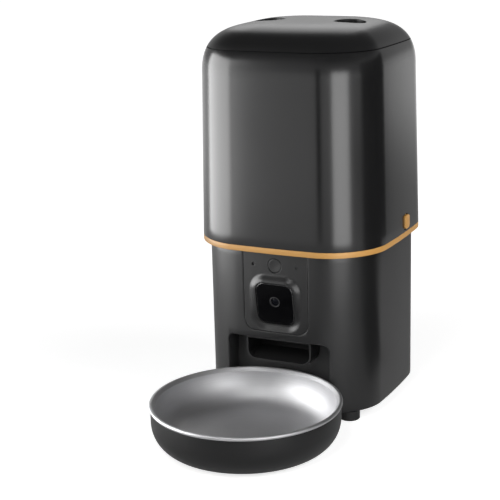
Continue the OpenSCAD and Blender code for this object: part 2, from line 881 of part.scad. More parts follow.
module drive_shaft() {
    color("Silver") post(rotor_at, shaft_d / 2, case_foot - over, rotor_high + shaft_reach);
}
module drive_gear() {
    color("Ivory") difference() {
        union() {
            gear_at(rotor_at, large_teeth, idler_turn, high_gear, high_gear + gear_face);
            post(rotor_at, shaft_d / 2 + gear_hub_wall, high_gear - gear_hub_wall,
                high_gear + gear_face + gear_hub_wall);
        }
        post(rotor_at, shaft_d / 2 + push_gap, case_foot, case_top);
    }
}
module idler_gear() {
    color("Ivory") difference() {
        union() {
            gear_at(idler_at, large_teeth, motor_turn, low_gear, low_gear + gear_face);
            gear_at(idler_at, small_teeth, gap_turn(idler_turn, small_teeth),
                low_gear + gear_face / 2, high_gear + gear_face + over);
        }
        post(idler_at, pin_r + run_gap, case_foot, case_top);
    }
}
module idler_pin() {
    color("Silver") post(idler_at, pin_r, case_foot + pin_skin, case_top + case_floor - pin_skin);
}
module motor_pinion() {
    color("Goldenrod") difference() {
        gear_at(motor_at, small_teeth, gap_turn(motor_turn, small_teeth), low_gear, low_gear + gear_face);
        post(motor_at, motor_shaft_r + push_gap, case_foot, case_top);
    }
}
module motor_shaft() {
    color("Silver")
        post(motor_at, motor_shaft_r, case_foot - motor_bore + pin_skin, low_gear + gear_face + over);
}
module motor() {
    foot = case_foot - motor_l;
    color("Silver") difference() {
        union() {
            post(motor_at, motor_d / 2, foot, case_foot);
            post(motor_at, motor_nose_r, case_foot - over, case_foot + motor_nose_h);
            post(motor_at, motor_tail_r, foot - motor_tail_h, foot + over);
        }
        post(motor_at, motor_shaft_r + run_gap, case_foot - motor_bore, case_foot + motor_nose_h + over);
    }
}
module shaft_bushes() {
    spans = [[cup_foot, cup_floor], [case_top, case_top + case_floor], [case_foot, case_foot + case_floor]];
    color("Goldenrod") for (span = spans)
        difference() {
            post(rotor_at, bush_r, span[0], span[1]);
            post(rotor_at, shaft_d / 2 + run_gap, span[0] - over, span[1] + over);
        }
}
module case_outline(grow) {
    hull() {
        translate(rotor_at)
            circle(r = gear_room + grow);
        translate(idler_at)
            circle(r = gear_room + grow);
        translate(motor_at)
            circle(r = motor_d / 2 + motor_air + grow);
    }
}
module gear_tray() {
    color("LightGray") difference() {
        translate([0, 0, case_foot])
            linear_extrude(case_h)
                case_outline(case_wall);
        translate([0, 0, case_foot + case_floor])
            linear_extrude(case_h)
                case_outline(0);
        post(rotor_at, bush_r, case_foot - over, case_foot + case_floor + over);
        post(motor_at, motor_nose_r + run_gap, case_foot - over, case_foot + case_floor + over);
        post(idler_at, pin_r + push_gap, case_foot + pin_skin, case_foot + case_floor + over);
    }
}
module gear_cover() {
    color("LightGray") difference() {
        union() {
            translate([0, 0, case_top])
                linear_extrude(case_floor)
                    case_outline(case_wall);
            for (at = case_posts)
                post(at, case_post_r, case_top + case_floor / 2, cup_foot);
        }
        post(rotor_at, bush_r, case_top - over, case_top + case_floor + over);
        post(idler_at, pin_r + push_gap, case_top - over, case_top + case_floor - pin_skin);
    }
}

// electronics in the foot of the base
main_board_at = [-46, 2];
main_board_size = [52, 54];
main_board_lift = 5.5;
main_board_z = boss_foot + main_board_lift;
stand_r = 2.5;
stand_inset = 4;
chip_spots = [[[8, 14], [18, 14, 2.2]], [[32, 10], [10, 10, 1.7]]];
can_spots = [[40, 40], [28, 42]];
can_r = 4;
can_h = 9.5;
module main_board() {
    top = main_board_z + board_t;
    color("DarkGreen") union() {
        translate([main_board_at[0], main_board_at[1], main_board_z])
            cube([main_board_size[0], main_board_size[1], board_t]);
        for (chip = chip_spots)
            translate([main_board_at[0] + chip[0][0], main_board_at[1] + chip[0][1], top - film])
                cube(chip[1]);
        for (at = can_spots)
            post(main_board_at + at, can_r, top - film, top + can_h);
    }
}
speaker_set_back = 3;
speaker_rim_t = 3;
magnet_depth = 7;
module speaker() {
    face = base_inner - speaker_set_back;
    color("Black") union() {
        peg(0, speaker_z, speaker_d / 2, face - speaker_rim_t, face);
        peg(0, speaker_z, speaker_d / 3, face - magnet_depth, face - speaker_rim_t / 2);
    }
}
socket_sink = 1.4;
socket_depth = 9.5;
socket_block_w = 13;
socket_block_l = 11;
socket_reach = 16;
socket_back = base_inner - socket_reach;
module power_socket() {
    outer = base_half - socket_sink;
    half = socket_block_w / 2;
    color("Black") difference() {
        union() {
            peg(socket_x, socket_z, socket_collar_r, socket_back + socket_block_l / 2, outer);
            block([socket_x - half, socket_back, socket_z - half],
                [socket_x + half, socket_back + socket_block_l, socket_z + half]);
        }
        difference() {
            peg(socket_x, socket_z, socket_d / 2, outer - socket_depth, outer + over);
            peg(socket_x, socket_z, socket_pin_d / 2, outer - socket_depth - over, outer - over);
        }
    }
}

// underside: plate with rails for the bowl's tongue, stands for the board and the socket
rail_w = 3;
rail_l = 18;
rail_back = 4;
tongue_lift = 1.6;
socket_stand_w = 10;
socket_stand_l = 8;
module bottom_plate() {
    half = alcove_w / 2 + alcove_wall + slip_gap;
    back = -alcove_back + alcove_wall + slip_gap;
    stand_near = socket_back + over;
    color("Gray") difference() {
        union() {
            plan_prism(deck_half, base_foot, boss_foot);
            for (side = [0, 1])
                mirror([side, 0, 0])
                    translate([tongue_w / 2 + easy_gap, rail_back - alcove_back, tongue_lift])
                        cube([rail_w, rail_l, base_foot - tongue_lift + plate_t / 2]);
            for (x = [stand_inset, main_board_size[0] - stand_inset],
                    y = [stand_inset, main_board_size[1] - stand_inset])
                post(main_board_at + [x, y], stand_r, boss_foot - plate_t / 2, main_board_z);
            block([socket_x - socket_stand_w / 2, stand_near, boss_foot - plate_t / 2],
                [socket_x + socket_stand_w / 2, stand_near + socket_stand_l, socket_z - socket_block_w / 2]);
        }
        block([-half, -base_w, 0], [half, back, base_w]);
        for (at = boss_spots) {
            post(at, screw_head_r + film, base_foot - over, base_foot + screw_head_h);
            post(at, screw_r + push_gap, base_foot - over, boss_foot + over);
        }
    }
}
screw_sink = 0.2;
cross_l = 3.4;
cross_w = 0.7;
cross_depth = 0.8;
module bottom_screws() {
    color("Silver") for (at = boss_spots)
        difference() {
            union() {
                post(at, screw_head_r, base_foot + screw_sink, base_foot + screw_head_h);
                post(at, screw_r, base_foot + screw_head_h / 2, boss_foot + boss_h - 4 * over);
            }
            for (turn = [0, 90])
                translate([at[0], at[1], base_foot])
                    rotate([0, 0, turn])
                        cube([cross_l, cross_w, 2 * cross_depth], center = true);
        }
}
module rubber_feet() {
    color("Black") for (x = [-1, 1], y = [-1, 1])
        post([x * foot_pitch, y * foot_pitch], foot_d / 2, 0, base_foot);
}

// bowl and its holder, round the bowl's own axis
function quarter(r0, r1, z0, z1, steps) = [for (j = [0:steps]) let (turn = 90 * j / steps)
    [r0 + (r1 - r0) * sin(turn), z0 + (z1 - z0) * (1 - cos(turn))]];
bowl_steps = 12;
bead_steps = 12;
bead_start = 140;
bead_rise = 1.2;
bead_out = bowl_d / 2 - bead_r;
bead_z = bowl_seat + bead_rise;
bead_end = -asin(bead_rise / bead_r);
bead_reach = 2.3;
bowl_wall_r = bead_out - bead_reach;
bowl_curve_w = 22.2;
bowl_floor_r = bowl_wall_r - bowl_curve_w;
bowl_profile = concat(
    [[0, bowl_floor + sheet]],
    quarter(bowl_floor_r, bowl_wall_r - sheet, bowl_floor + sheet, bowl_seat, bowl_steps),
    [for (j = [0:bead_steps]) let (turn = bead_start + (bead_end - bead_start) * j / bead_steps)
        [bead_out + bead_r * cos(turn), bead_z + bead_r * sin(turn)]],
    back_to_front(quarter(bowl_floor_r, bowl_wall_r, bowl_floor, bowl_seat, bowl_steps)),
    [[0, bowl_floor]]);
module steel_bowl() {
    color("Silver") rotate_extrude() polygon(bowl_profile);
}
holder_curve_w = 20;
holder_curve_h = 22;
holder_floor = 3;
holder_bevel = 0.5;
holder_r = bowl_wall_r + slip_gap + holder_t;
holder_inner = holder_r - holder_t;
holder_profile = concat(
    [[0, holder_floor]],
    quarter(holder_inner - holder_curve_w, holder_inner, holder_floor, holder_curve_h, bowl_steps),
    [[holder_inner, bowl_seat], [holder_r - holder_bevel, bowl_seat], [holder_r, bowl_seat - holder_bevel]],
    back_to_front(quarter(holder_r - holder_curve_w, holder_r, 0, holder_curve_h, bowl_steps)),
    [[0, 0]]);
tongue_t = 4.4;
tongue_root = holder_inner - holder_curve_w - over;
tongue_end = bowl_front - alcove_back + rail_back + rail_l - 2 * over;
module bowl_holder() {
    color("Black") union() {
        rotate_extrude() polygon(holder_profile);
        difference() {
            block([-tongue_w / 2, tongue_root / 2, tongue_lift],
                [tongue_w / 2, tongue_end, tongue_lift + tongue_t]);
            post([0, 0], tongue_root, 0, bowl_seat);
        }
    }
}

module in_tower() {
    translate([0, tower_y, 0])
        children();
}
module at_bowl() {
    translate([0, bowl_y, 0])
        children();
}

in_tower() lid();
in_tower() lid_liner();
in_tower() lid_seal();
in_tower() tank_shell();
in_tower() hopper_funnel();
in_tower() accent_ring();
in_tower() release_left();
in_tower() release_right();
in_tower() base_shell();
in_tower() front_panel();
in_tower() camera_window();
in_tower() lens_barrel();
in_tower() lens_glass();
in_tower() camera_board();
in_tower() feed_button();
in_tower() button_board();
in_tower() status_light();
in_tower() microphone();
in_tower() dispenser_deck();
in_tower() outlet_shield();
in_tower() chute();
in_tower() rotor_hub();
in_tower() rotor_vanes();
in_tower() drive_shaft();
in_tower() drive_gear();
in_tower() shaft_bushes();
in_tower() gear_tray();
in_tower() gear_cover();
in_tower() idler_gear();
in_tower() idler_pin();
in_tower() motor();
in_tower() motor_shaft();
in_tower() motor_pinion();
in_tower() main_board();
in_tower() speaker();
in_tower() power_socket();
in_tower() bottom_plate();
in_tower() bottom_screws();
in_tower() rubber_feet();
at_bowl() bowl_holder();
at_bowl() steel_bowl();
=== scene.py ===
"""Automatic pet feeder with a camera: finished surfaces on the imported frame, in metres."""

import math

import bmesh
import bpy
import numpy as np
from mathutils import Matrix, Vector


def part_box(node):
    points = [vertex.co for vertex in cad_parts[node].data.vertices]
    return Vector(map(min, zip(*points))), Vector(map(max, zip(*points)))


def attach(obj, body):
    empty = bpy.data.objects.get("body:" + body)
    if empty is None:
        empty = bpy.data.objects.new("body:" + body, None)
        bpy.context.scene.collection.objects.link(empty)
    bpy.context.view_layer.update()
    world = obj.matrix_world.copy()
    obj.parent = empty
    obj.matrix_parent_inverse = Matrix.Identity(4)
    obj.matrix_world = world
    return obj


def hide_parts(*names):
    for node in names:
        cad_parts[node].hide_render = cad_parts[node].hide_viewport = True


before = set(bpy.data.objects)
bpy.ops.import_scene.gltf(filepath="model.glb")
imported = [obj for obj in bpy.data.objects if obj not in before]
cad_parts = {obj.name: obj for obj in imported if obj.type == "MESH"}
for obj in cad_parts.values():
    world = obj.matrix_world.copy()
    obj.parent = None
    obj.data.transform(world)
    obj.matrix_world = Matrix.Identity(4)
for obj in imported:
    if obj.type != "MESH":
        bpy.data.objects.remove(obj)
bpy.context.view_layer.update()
scene = bpy.context.scene

# Shapes are worked out in millimetres from the foot of the tower's axis, front towards -Y.
MM = 0.001
tank_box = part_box("tank_shell")
tower_foot = Vector((0, (tank_box[0].y + tank_box[1].y) / 2, 0))


def corners(node):
    """Lowest and highest corner of a CAD node, in millimetres from the tower's foot."""
    low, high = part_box(node)
    return (low - tower_foot) / MM, (high - tower_foot) / MM


def middle_of(node):
    """Middle of a CAD node, measured in the same way."""
    return [(a + b) / 2 for a, b in zip(*corners(node))]


# Corners, levels and half widths taken from the frame
ring_low, ring_high = corners("accent_ring")
tank_low, tank_high = corners("tank_shell")
base_low, base_high = corners("base_shell")
bowl_low, bowl_high = corners("steel_bowl")
chute_low, chute_high = corners("chute")
latch_low, latch_high = corners("release_right")
button_low, button_high = corners("feed_button")
holder_high = corners("bowl_holder")[1]
feet_high = corners("rubber_feet")[1]
liner_top = corners("lid_liner")[1].z
funnel_top = corners("hopper_funnel")[1].z
deck_top = corners("dispenser_deck")[1].z
lid_top = corners("lid")[1].z
lid_line = tank_high.z
tank_foot_half = tank_high.x
base_half = base_high.x
base_foot = base_low.z
base_top = base_high.z
bowl_y = middle_of("steel_bowl")[1]
button_z = middle_of("feed_button")[2]

# Sizes of the mouldings, in millimetres; the dome's two values are powers
WALL = 2.4
CORNER_R = 38.5
SIDE_SWELL = 3.75
SHOULDER_HALF = 78.7
SHOULDER_H = 22.6
DOME_FLAT = 2.6
DOME_ROUND = 4.6
PARTING_GAP = 0.7
EDGE_R = 0.2
EDGE_STEPS = 4
SLIP = 0.3
OVERCUT = 1.0
base_inner = base_half - WALL


# Meshes: the reach of joined points in metres, the angle that stays sharp in degrees

JOIN_REACH = 1e-7
SHARP_ANGLE = 32


def new_object(name, data):
    """An object in the scene."""
    obj = bpy.data.objects.new(name, data)
    scene.collection.objects.link(obj)
    return obj


def solid(name, points, faces):
    """A closed mesh of millimetre points, its normals outwards and coincident points joined."""
    mesh = bpy.data.meshes.new(name)
    mesh.from_pydata([Vector(p) * MM + tower_foot for p in points], [], faces)
    work = bmesh.new()
    work.from_mesh(mesh)
    bmesh.ops.remove_doubles(work, verts=work.verts, dist=JOIN_REACH)
    loose = [edge for edge in work.edges if not edge.link_faces]
    bmesh.ops.delete(work, geom=loose, context="EDGES")
    bmesh.ops.recalc_face_normals(work, faces=work.faces)
    work.to_mesh(mesh)
    work.free()
    return new_object(name, mesh)


def loft(name, rings, closed=False):
    """A skin through rings of points, closed on itself or capped at both ends."""
    count = len(rings[0])
    points = [tuple(p) for ring in rings for p in ring]
    faces = []
    for k in range(len(rings) if closed else len(rings) - 1):
        a = k * count
        b = (k + 1) % len(rings) * count
        for j in range(count):
            n = (j + 1) % count
            faces.append((a + j, a + n, b + n, b + j))
    if not closed:
        faces.append(tuple(range(count)))
        faces.append(tuple(range(len(points) - count, len(points))))
    return solid(name, points, faces)


def combine(obj, tool, operation):
    """Joins, cuts or trims a mesh with another, which is used up."""
    step = obj.modifiers.new(operation, "BOOLEAN")
    step.operation = operation
    step.solver = "MANIFOLD"
    step.object = tool
    graph = bpy.context.evaluated_depsgraph_get()
    mesh = bpy.data.meshes.new_from_object(obj.evaluated_get(graph))
    old = obj.data
    obj.modifiers.clear()
    obj.data = mesh
    bpy.data.meshes.remove(old)
    bpy.data.objects.remove(tool)


def smooth(obj):
    """Smooth shading that keeps the sharp edges."""
    obj.data.shade_smooth()
    obj.data.set_sharp_from_angle(angle=math.radians(SHARP_ANGLE))
    return obj


# Outlines

SIGNS = ((1, 1), (-1, 1), (-1, -1), (1, -1))
CORNER_STEPS = 26
SIDE_STEPS = 38


def plan(half):
    """The tower's plan: a rounded square with swelled sides."""
    corner = CORNER_R / base_half
    swell = SIDE_SWELL / base_half
    inner = 1 - swell
    core = inner - corner

    def arc(k, turn):
        sign = SIGNS[k % 4]
        return np.array([
            core * sign[0] + corner * math.cos(turn),
            core * sign[1] + corner * math.sin(turn)])

    points = []
    for k in range(4):
        start = math.pi / 2 * k
        end = start + math.pi / 2
        for j in range(CORNER_STEPS + 1):
            points.append(arc(k, start + (end - start) * j / CORNER_STEPS))
        for j in range(1, SIDE_STEPS):
            points.append(arc(k, end) * (1 - j / SIDE_STEPS) + arc(k + 1, end) * j / SIDE_STEPS)
    flat = np.array(points)
    bulge = 1 + swell / inner * (1 - (flat[:, ::-1] / inner) ** 2)
    return flat * bulge * half


def level_ring(flat, z):
    """An outline of (x, y) points at a height."""
    return np.column_stack([flat, np.full(len(flat), z)])


def plan_ring(half, z):
    """The plan at a height."""
    return level_ring(plan(half), z)


front_line = plan(base_half)
front_line = front_line[front_line[:, 1] < -base_half / 2]
front_line = front_line[np.argsort(front_line[:, 0])]


def front_y(x):
    """Depth of the base housing's front at a place across it."""
    return np.interp(x, front_line[:, 0], front_line[:, 1])


def rounded(w, h, r, growth=0, steps=10, side=8):
    """A rounded rectangle round the origin, grown all round, with points along its sides."""
    r = r + growth
    half = np.array([w + 2 * growth, h + 2 * growth]) / 2 - r
    points = []
    for k in range(4):
        start = math.pi / 2 * k
        centre = np.array(SIGNS[k]) * half
        following = np.array(SIGNS[(k + 1) % 4]) * half
        for j in range(steps + 1):
            turn = start + math.pi / 2 * j / steps
            points.append(centre + r * np.array([math.cos(turn), math.sin(turn)]))
        end = start + math.pi / 2
        rim = r * np.array([math.cos(end), math.sin(end)])
        for j in range(1, side):
            points.append((centre + rim) * (1 - j / side) + (following + rim) * j / side)
    return np.array(points)


# An opening's rounded edge: flare at its start in degrees, reach outside in millimetres
MOUTH_START = 20
MOUTH_REACH = 1.0
MOUTH_STEPS = 6


def mouth(radius):
    """Stations (depth, growth) of a cutter whose opening has a rounded edge."""
    start = math.radians(MOUTH_START)
    first = (radius * (1 - math.cos(start)), radius * (1 - math.sin(start)))
    rise = (MOUTH_REACH + first[0]) / math.tan(start)
    stations = [(-MOUTH_REACH, first[1] + rise)]
    for j in range(MOUTH_STEPS + 1):
        turn = start + (math.pi / 2 - start) * j / MOUTH_STEPS
        stations.append((radius * (1 - math.cos(turn)), radius * (1 - math.sin(turn))))
    return stations


def front_ring(flat, y):
    """An outline of (x, z) points at a depth or at a depth for each point."""
    return np.column_stack([flat[:, 0], np.broadcast_to(y, len(flat)), flat[:, 1]])


def front_slab(name, outline, near, far, stations=()):
    """A solid along Y between two depths, whose stations follow the housing's curved front.

    outline(growth) gives its (x, z) points; a station is (depth below the front, growth).
    """
    start = stations[0][1] if stations else 0
    end = stations[-1][1] if stations else 0
    rings = [front_ring(outline(start), near)]
    for depth, growth in stations:
        flat = outline(growth)
        rings.append(front_ring(flat, front_y(flat[:, 0]) + depth))
    rings.append(front_ring(outline(end), far))
    return loft(name, rings)


def turned(name, profile, matrix, segments=96):
    """A profile of (radius, height) turned round an axis that the matrix places."""
    rings = []
    for radius, height in profile:
        ring = []
        for j in range(segments):
            turn = 2 * math.pi * j / segments
            point = Vector((radius * math.cos(turn), radius * math.sin(turn), height))
            ring.append(matrix @ point)
        rings.append(ring)
    return loft(name, rings, closed=True)


def upright(x, y, z=0.0):
    """Places a turned shape with its axis along Z."""
    return Matrix.Translation((x, y, z))


def facing(x, y, z):
    """Places a turned shape with its axis along +Y, into the housing."""
    return Matrix.Translation((x, y, z)) @ Matrix.Rotation(math.radians(-90), 4, "X")


def cylinder_along(matrix, radius, length, segments=48):
    """A plain cutter or boss along a placed axis."""
    profile = [(0, 0), (radius, 0), (radius, length), (0, length)]
    return turned("tool", profile, matrix, segments)


def arc_profile(centre, radius, start, end, steps):
    """Points of an arc in a profile, in degrees."""
    turns = [math.radians(start + (end - start) * j / steps) for j in range(steps + 1)]
    return [(centre[0] + radius * math.cos(t), centre[1] + radius * math.sin(t)) for t in turns]


def quarter(r0, r1, z0, z1, steps):
    """A quarter of an ellipse that leaves a flat floor and ends upright."""
    turns = [math.pi / 2 * j / steps for j in range(steps + 1)]
    return [(r0 + (r1 - r0) * math.sin(t), z0 + (z1 - z0) * (1 - math.cos(t))) for t in turns]


# Tank and lid

dome_foot = lid_line - SHOULDER_H
dome_h = lid_top - dome_foot


def tank_half(z):
    """Half width of the tank's and lid's outside at a height."""
    if z > dome_foot:
        share = min(1.0, (z - dome_foot) / dome_h)
        return SHOULDER_HALF * (1 - share ** DOME_FLAT) ** (1 / DOME_ROUND)
    share = (z - tank_low.z) / (dome_foot - tank_low.z)
    return tank_foot_half + (SHOULDER_HALF - tank_foot_half) * share


def rounded_edge(half_at, z, direction):
    """Rings that round an outer edge at a height; direction is +1 up or -1 down."""
    rings = []
    for j in range(EDGE_STEPS + 1):
        turn = math.pi / 2 * j / EDGE_STEPS
        level = z - direction * EDGE_R * (1 - math.sin(turn))
        rings.append(plan_ring(half_at(level) - EDGE_R * (1 - math.cos(turn)), level))
    return rings


LEDGE_W = 1.0
LEDGE_CLEAR = 1.0
FUNNEL_RIM = 2.0
SLOT_REACH = 4
LATCH_GAP = 0.5
LATCH_R = 3.0
LATCH_LIP = 1.3
LATCH_EASE = 0.8
LATCH_START = 0.7
LATCH_TURNS = np.linspace(0.2, 1.4, 5)
FLANGE_T = 1.4
FLANGE_R = 2
latch_w = latch_high.y - latch_low.y - 2 * LATCH_LIP - 2 * LATCH_GAP
latch_h = latch_high.z - latch_low.z - 2 * LATCH_LIP - 4 * LATCH_GAP
latch_y, latch_z = middle_of("release_right")[1:]


def latch_ring(flat, x):
    """An outline of (y, z) points round the latch's middle, at a place across the tank."""
    return np.column_stack([np.full(len(flat), x), flat[:, 0] + latch_y, flat[:, 1] + latch_z])


def latch_slab(side, stations):
    """A latch shape from the inside to the outside of a tank wall; stations are (x, growth)."""
    rings = []
    for x, growth in stations:
        flat = rounded(latch_w, latch_h, LATCH_R, growth)
        if growth > 0:
            flat[:, 1] *= (latch_h + 4 * growth) / (latch_h + 2 * growth)
        rings.append(latch_ring(flat, side * x))
    return loft("latch", rings)


def make_tank():
    """Tank shell with its inner ledge and a slot for each release button."""
    ledge_z = funnel_top - FUNNEL_RIM
    straight = np.linspace(tank_low.z + EDGE_R, dome_foot, 16)
    curved = np.linspace(dome_foot, lid_line - EDGE_R, 14)[1:]
    outer = [*straight, *curved]
    inner_foot = tank_foot_half - WALL - LEDGE_W
    ledge_half = tank_half(ledge_z) - WALL
    rings = [plan_ring(inner_foot, tank_low.z)]
    rings += rounded_edge(tank_half, tank_low.z, -1)[:0:-1]
    rings += [plan_ring(tank_half(z), z) for z in outer]
    rings += [plan_ring(tank_half(lid_line) - inset, lid_line) for inset in (0, WALL)]
    inner = [z for z in reversed(outer) if z > ledge_z + LEDGE_CLEAR]
    rings += [plan_ring(tank_half(z) - WALL, z) for z in inner]
    rings += [plan_ring(ledge_half, ledge_z), plan_ring(ledge_half - LEDGE_W, ledge_z)]
    tank = loft("tank_shell_skin", rings, closed=True)
    slot_ends = (inner_foot - SLOT_REACH, tank_foot_half + SLOT_REACH)
    for side in (-1, 1):
        slot = latch_slab(side, [(x, LATCH_GAP) for x in slot_ends])
        combine(tank, slot, "DIFFERENCE")
    return smooth(tank)


def make_latch(side):
    """Release button with a rounded face and a flange behind the wall."""
    inside, face = latch_low.x, latch_high.x
    stations = [(inside + LATCH_START, 0), (face - LATCH_EASE, 0)]
    for turn in LATCH_TURNS:
        fall = LATCH_EASE * (1 - math.sin(turn))
        stations.append((face - fall, -LATCH_EASE * (1 - math.cos(turn))))
    latch = latch_slab(side, stations)
    edge = rounded(latch_high.y - latch_low.y, latch_high.z - latch_low.z, FLANGE_R)
    flange = loft("flange", [latch_ring(edge, side * x) for x in (inside, inside + FLANGE_T)])
    combine(latch, flange, "UNION")
    return smooth(latch)


# Finger wells, and the shares of the dome's arc that its outer and inner skins cover
WELL_R = 13.0
WELL_AT = 36.0
WELL_DEPTH = 19.4
WELL_WALL = 1.6
WELL_EDGE = 0.9
WELL_FLOOR_R = 2
CORE_DROP = 6
OUTER_END = 0.995
INNER_END = 0.98


def dome_rings(half, rise, low, steps, share_end):
    """Rings of the dome from a height over a share of the arc to its top."""
    start = math.asin(((low - dome_foot) / rise) ** (DOME_FLAT / 2))
    rings = []
    for j in range(steps + 1):
        turn = start + (math.pi / 2 - start) * share_end * j / steps
        rings.append(plan_ring(
            half * math.cos(turn) ** (2 / DOME_ROUND),
            dome_foot + rise * math.sin(turn) ** (2 / DOME_FLAT)))
    return rings


def make_lid():
    """Domed lid with two finger wells."""
    edge_half = tank_half(lid_line) - WALL / 2
    lip_z = lid_line + PARTING_GAP
    dome_z = lid_line + (PARTING_GAP + EDGE_R)
    rings = dome_rings(SHOULDER_HALF - WALL, dome_h - WALL, lid_line, 30, INNER_END)
    rings.reverse()
    rings += [plan_ring(edge_half, lid_line), plan_ring(edge_half, lip_z)]
    rings += [plan_ring(tank_half(lip_z), lip_z)]
    rings += dome_rings(SHOULDER_HALF, dome_h, dome_z, 40, OUTER_END)
    lid = loft("lid_skin", rings)
    core = loft("core", dome_rings(
        SHOULDER_HALF - WALL / 2, dome_h - WALL / 2, lid_line - CORE_DROP, 24, INNER_END))
    for side in (-1, 1):
        foot = upright(side * WELL_AT, 0, liner_top)
        boss = cylinder_along(foot, WELL_R + WELL_WALL, lid_top - liner_top, 96)
        combine(boss, new_object("core", core.data.copy()), "INTERSECT")
        combine(lid, boss, "UNION")
    bpy.data.objects.remove(core)
    surface = dome_foot + dome_h * (1 - (WELL_AT / SHOULDER_HALF) ** DOME_ROUND) ** (1 / DOME_FLAT)
    floor = lid_top - WELL_DEPTH
    turn_at = (WELL_R - WELL_FLOOR_R, floor + WELL_FLOOR_R)
    for side in (-1, 1):
        profile = [(0, surface + MOUTH_REACH)]
        profile += [(WELL_R + grow, surface - depth) for depth, grow in mouth(WELL_EDGE)]
        profile += arc_profile(turn_at, WELL_FLOOR_R, 0, -90, 6) + [(0, floor)]
        combine(lid, turned("well", profile, upright(side * WELL_AT, 0), 128), "DIFFERENCE")
    return smooth(lid)


def make_ring():
    """Coloured ring at the tank's foot with eased edges."""
    inner = tank_foot_half - WALL - LEDGE_W
    rings = [plan_ring(inner, ring_low.z)]
    rings += rounded_edge(lambda z: tank_foot_half, ring_low.z, -1)[::-1]
    rings += rounded_edge(lambda z: tank_foot_half, ring_high.z, 1)
    rings += [plan_ring(inner, ring_high.z)]
    return smooth(loft("accent_ring_skin", rings, closed=True))


# Base housing

ALCOVE_W = 90.6
ALCOVE_TOP = 66.5
ALCOVE_BACK = 55.0
ALCOVE_WALL = 2.0
ALCOVE_R = 6.0
ALCOVE_EDGE = 1.1
CHUTE_BROW = 2.56
PANEL_W = 56.6
PANEL_FOOT = 73.4
PANEL_R = 9.0
PANEL_EDGE = 0.45
PANEL_REACH = 14.0
SHADOW_GAP = 0.25
DECK_LEDGE_W = 2.0
DECK_LEDGE_H = 3.5
DECK_RIM_H = 3.5
DECK_T = 3.0
FOOT_EDGE = 1.2
FUSE = 0.6
TRIM_INSET = 0.7
TRIM_RISE = 0.35
TRIM_ABOVE = 20
FRONT_REACH = 10
DOOR_REACH = 5
CHUTE_R = 8.5
CHUTE_ABOVE = 20
BOSS_INSET = 4.5
BOSS_AT = 30
BOSS_RISE = 2.5
BOSS_R = 5.4
BOSS_H = 14
PILOT_R = 1.52
PILOT_H = 13
SOCKET_R = 5.8
GRILLE_RINGS = 3
GRILLE_PITCH = 5
GRILLE_R = 1.1
HOLE_INSET = 2
HOLE_LENGTH = 8
outside = -base_half - FRONT_REACH
panel_end = PANEL_REACH - base_half
alcove_end = ALCOVE_WALL - ALCOVE_BACK


def alcove_outline(growth):
    """Outline (x, z) of the alcove, running on below the floor."""
    return rounded(ALCOVE_W, 2 * ALCOVE_TOP, ALCOVE_R, growth, side=40)


def panel_outline(growth):
    """Outline (x, z) of the front panel, running past the top of the housing."""
    h = base_top - PANEL_FOOT + 2 * PANEL_R
    return rounded(PANEL_W, h, PANEL_R, growth, side=40) + np.array([0, PANEL_FOOT + h / 2])


def chute_outline(growth):
    """Outline (x, z) of the chute's mouth."""
    w = chute_high.x - chute_low.x
    h = chute_high.z - chute_low.z + CHUTE_ABOVE
    return rounded(w, h, CHUTE_R, growth) + np.array([0, chute_low.z + h / 2])


def add_walls(base):
    """Adds the deck's ledge, the alcove's walls and the screw bosses to the housing."""
    ledge_top = deck_top - DECK_RIM_H - DECK_T
    ledge_foot = ledge_top - DECK_LEDGE_H
    ledge = loft("ledge", [
        plan_ring(base_inner - DECK_LEDGE_W, ledge_foot),
        plan_ring(base_inner + FUSE, ledge_foot),
        plan_ring(base_inner + FUSE, ledge_top),
        plan_ring(base_inner - DECK_LEDGE_W, ledge_top)], closed=True)
    combine(base, ledge, "UNION")
    trim_levels = (base_foot + TRIM_RISE, ALCOVE_TOP + TRIM_ABOVE)
    trim = loft("trim", [plan_ring(base_half - TRIM_INSET, z) for z in trim_levels])
    box = front_slab("alcove", lambda g: alcove_outline(g + ALCOVE_WALL), outside, alcove_end)
    combine(box, trim, "INTERSECT")
    combine(base, box, "UNION")
    for x in (-1, 1):
        for y in (-1, 1):
            at = upright(x * (base_inner - BOSS_INSET), y * BOSS_AT, base_foot + BOSS_RISE)
            combine(base, cylinder_along(at, BOSS_R, BOSS_H), "UNION")
            combine(base, cylinder_along(at, PILOT_R, PILOT_H), "DIFFERENCE")


def cut_front(base):
    """Cuts the alcove, the chute's way into it and the panel's opening."""
    hollow = front_slab("alcove_cut", alcove_outline, outside, -ALCOVE_BACK, mouth(ALCOVE_EDGE))
    combine(base, hollow, "DIFFERENCE")
    past = alcove_end + OVERCUT
    door_start = -ALCOVE_BACK - DOOR_REACH
    doorway = front_slab("doorway", lambda g: chute_outline(g + SLIP), door_start, past)
    roof = loft("roof", [plan_ring(base_half, z) for z in (0, ALCOVE_TOP - SLIP / 2)])
    combine(doorway, roof, "INTERSECT")
    combine(base, doorway, "DIFFERENCE")
    brow = -ALCOVE_BACK - CHUTE_BROW - SLIP
    half = chute_high.x + SLIP
    notch_plan = np.array([(-half, brow), (half, brow), (half, past), (-half, past)])
    notch_levels = (ALCOVE_TOP - SLIP, ALCOVE_TOP + ALCOVE_WALL + OVERCUT)
    notch = loft("notch", [level_ring(notch_plan, z) for z in notch_levels])
    combine(base, notch, "DIFFERENCE")
    opening = front_slab(
        "panel_cut", lambda g: panel_outline(g + SHADOW_GAP), outside, panel_end,
        mouth(PANEL_EDGE))
    combine(base, opening, "DIFFERENCE")


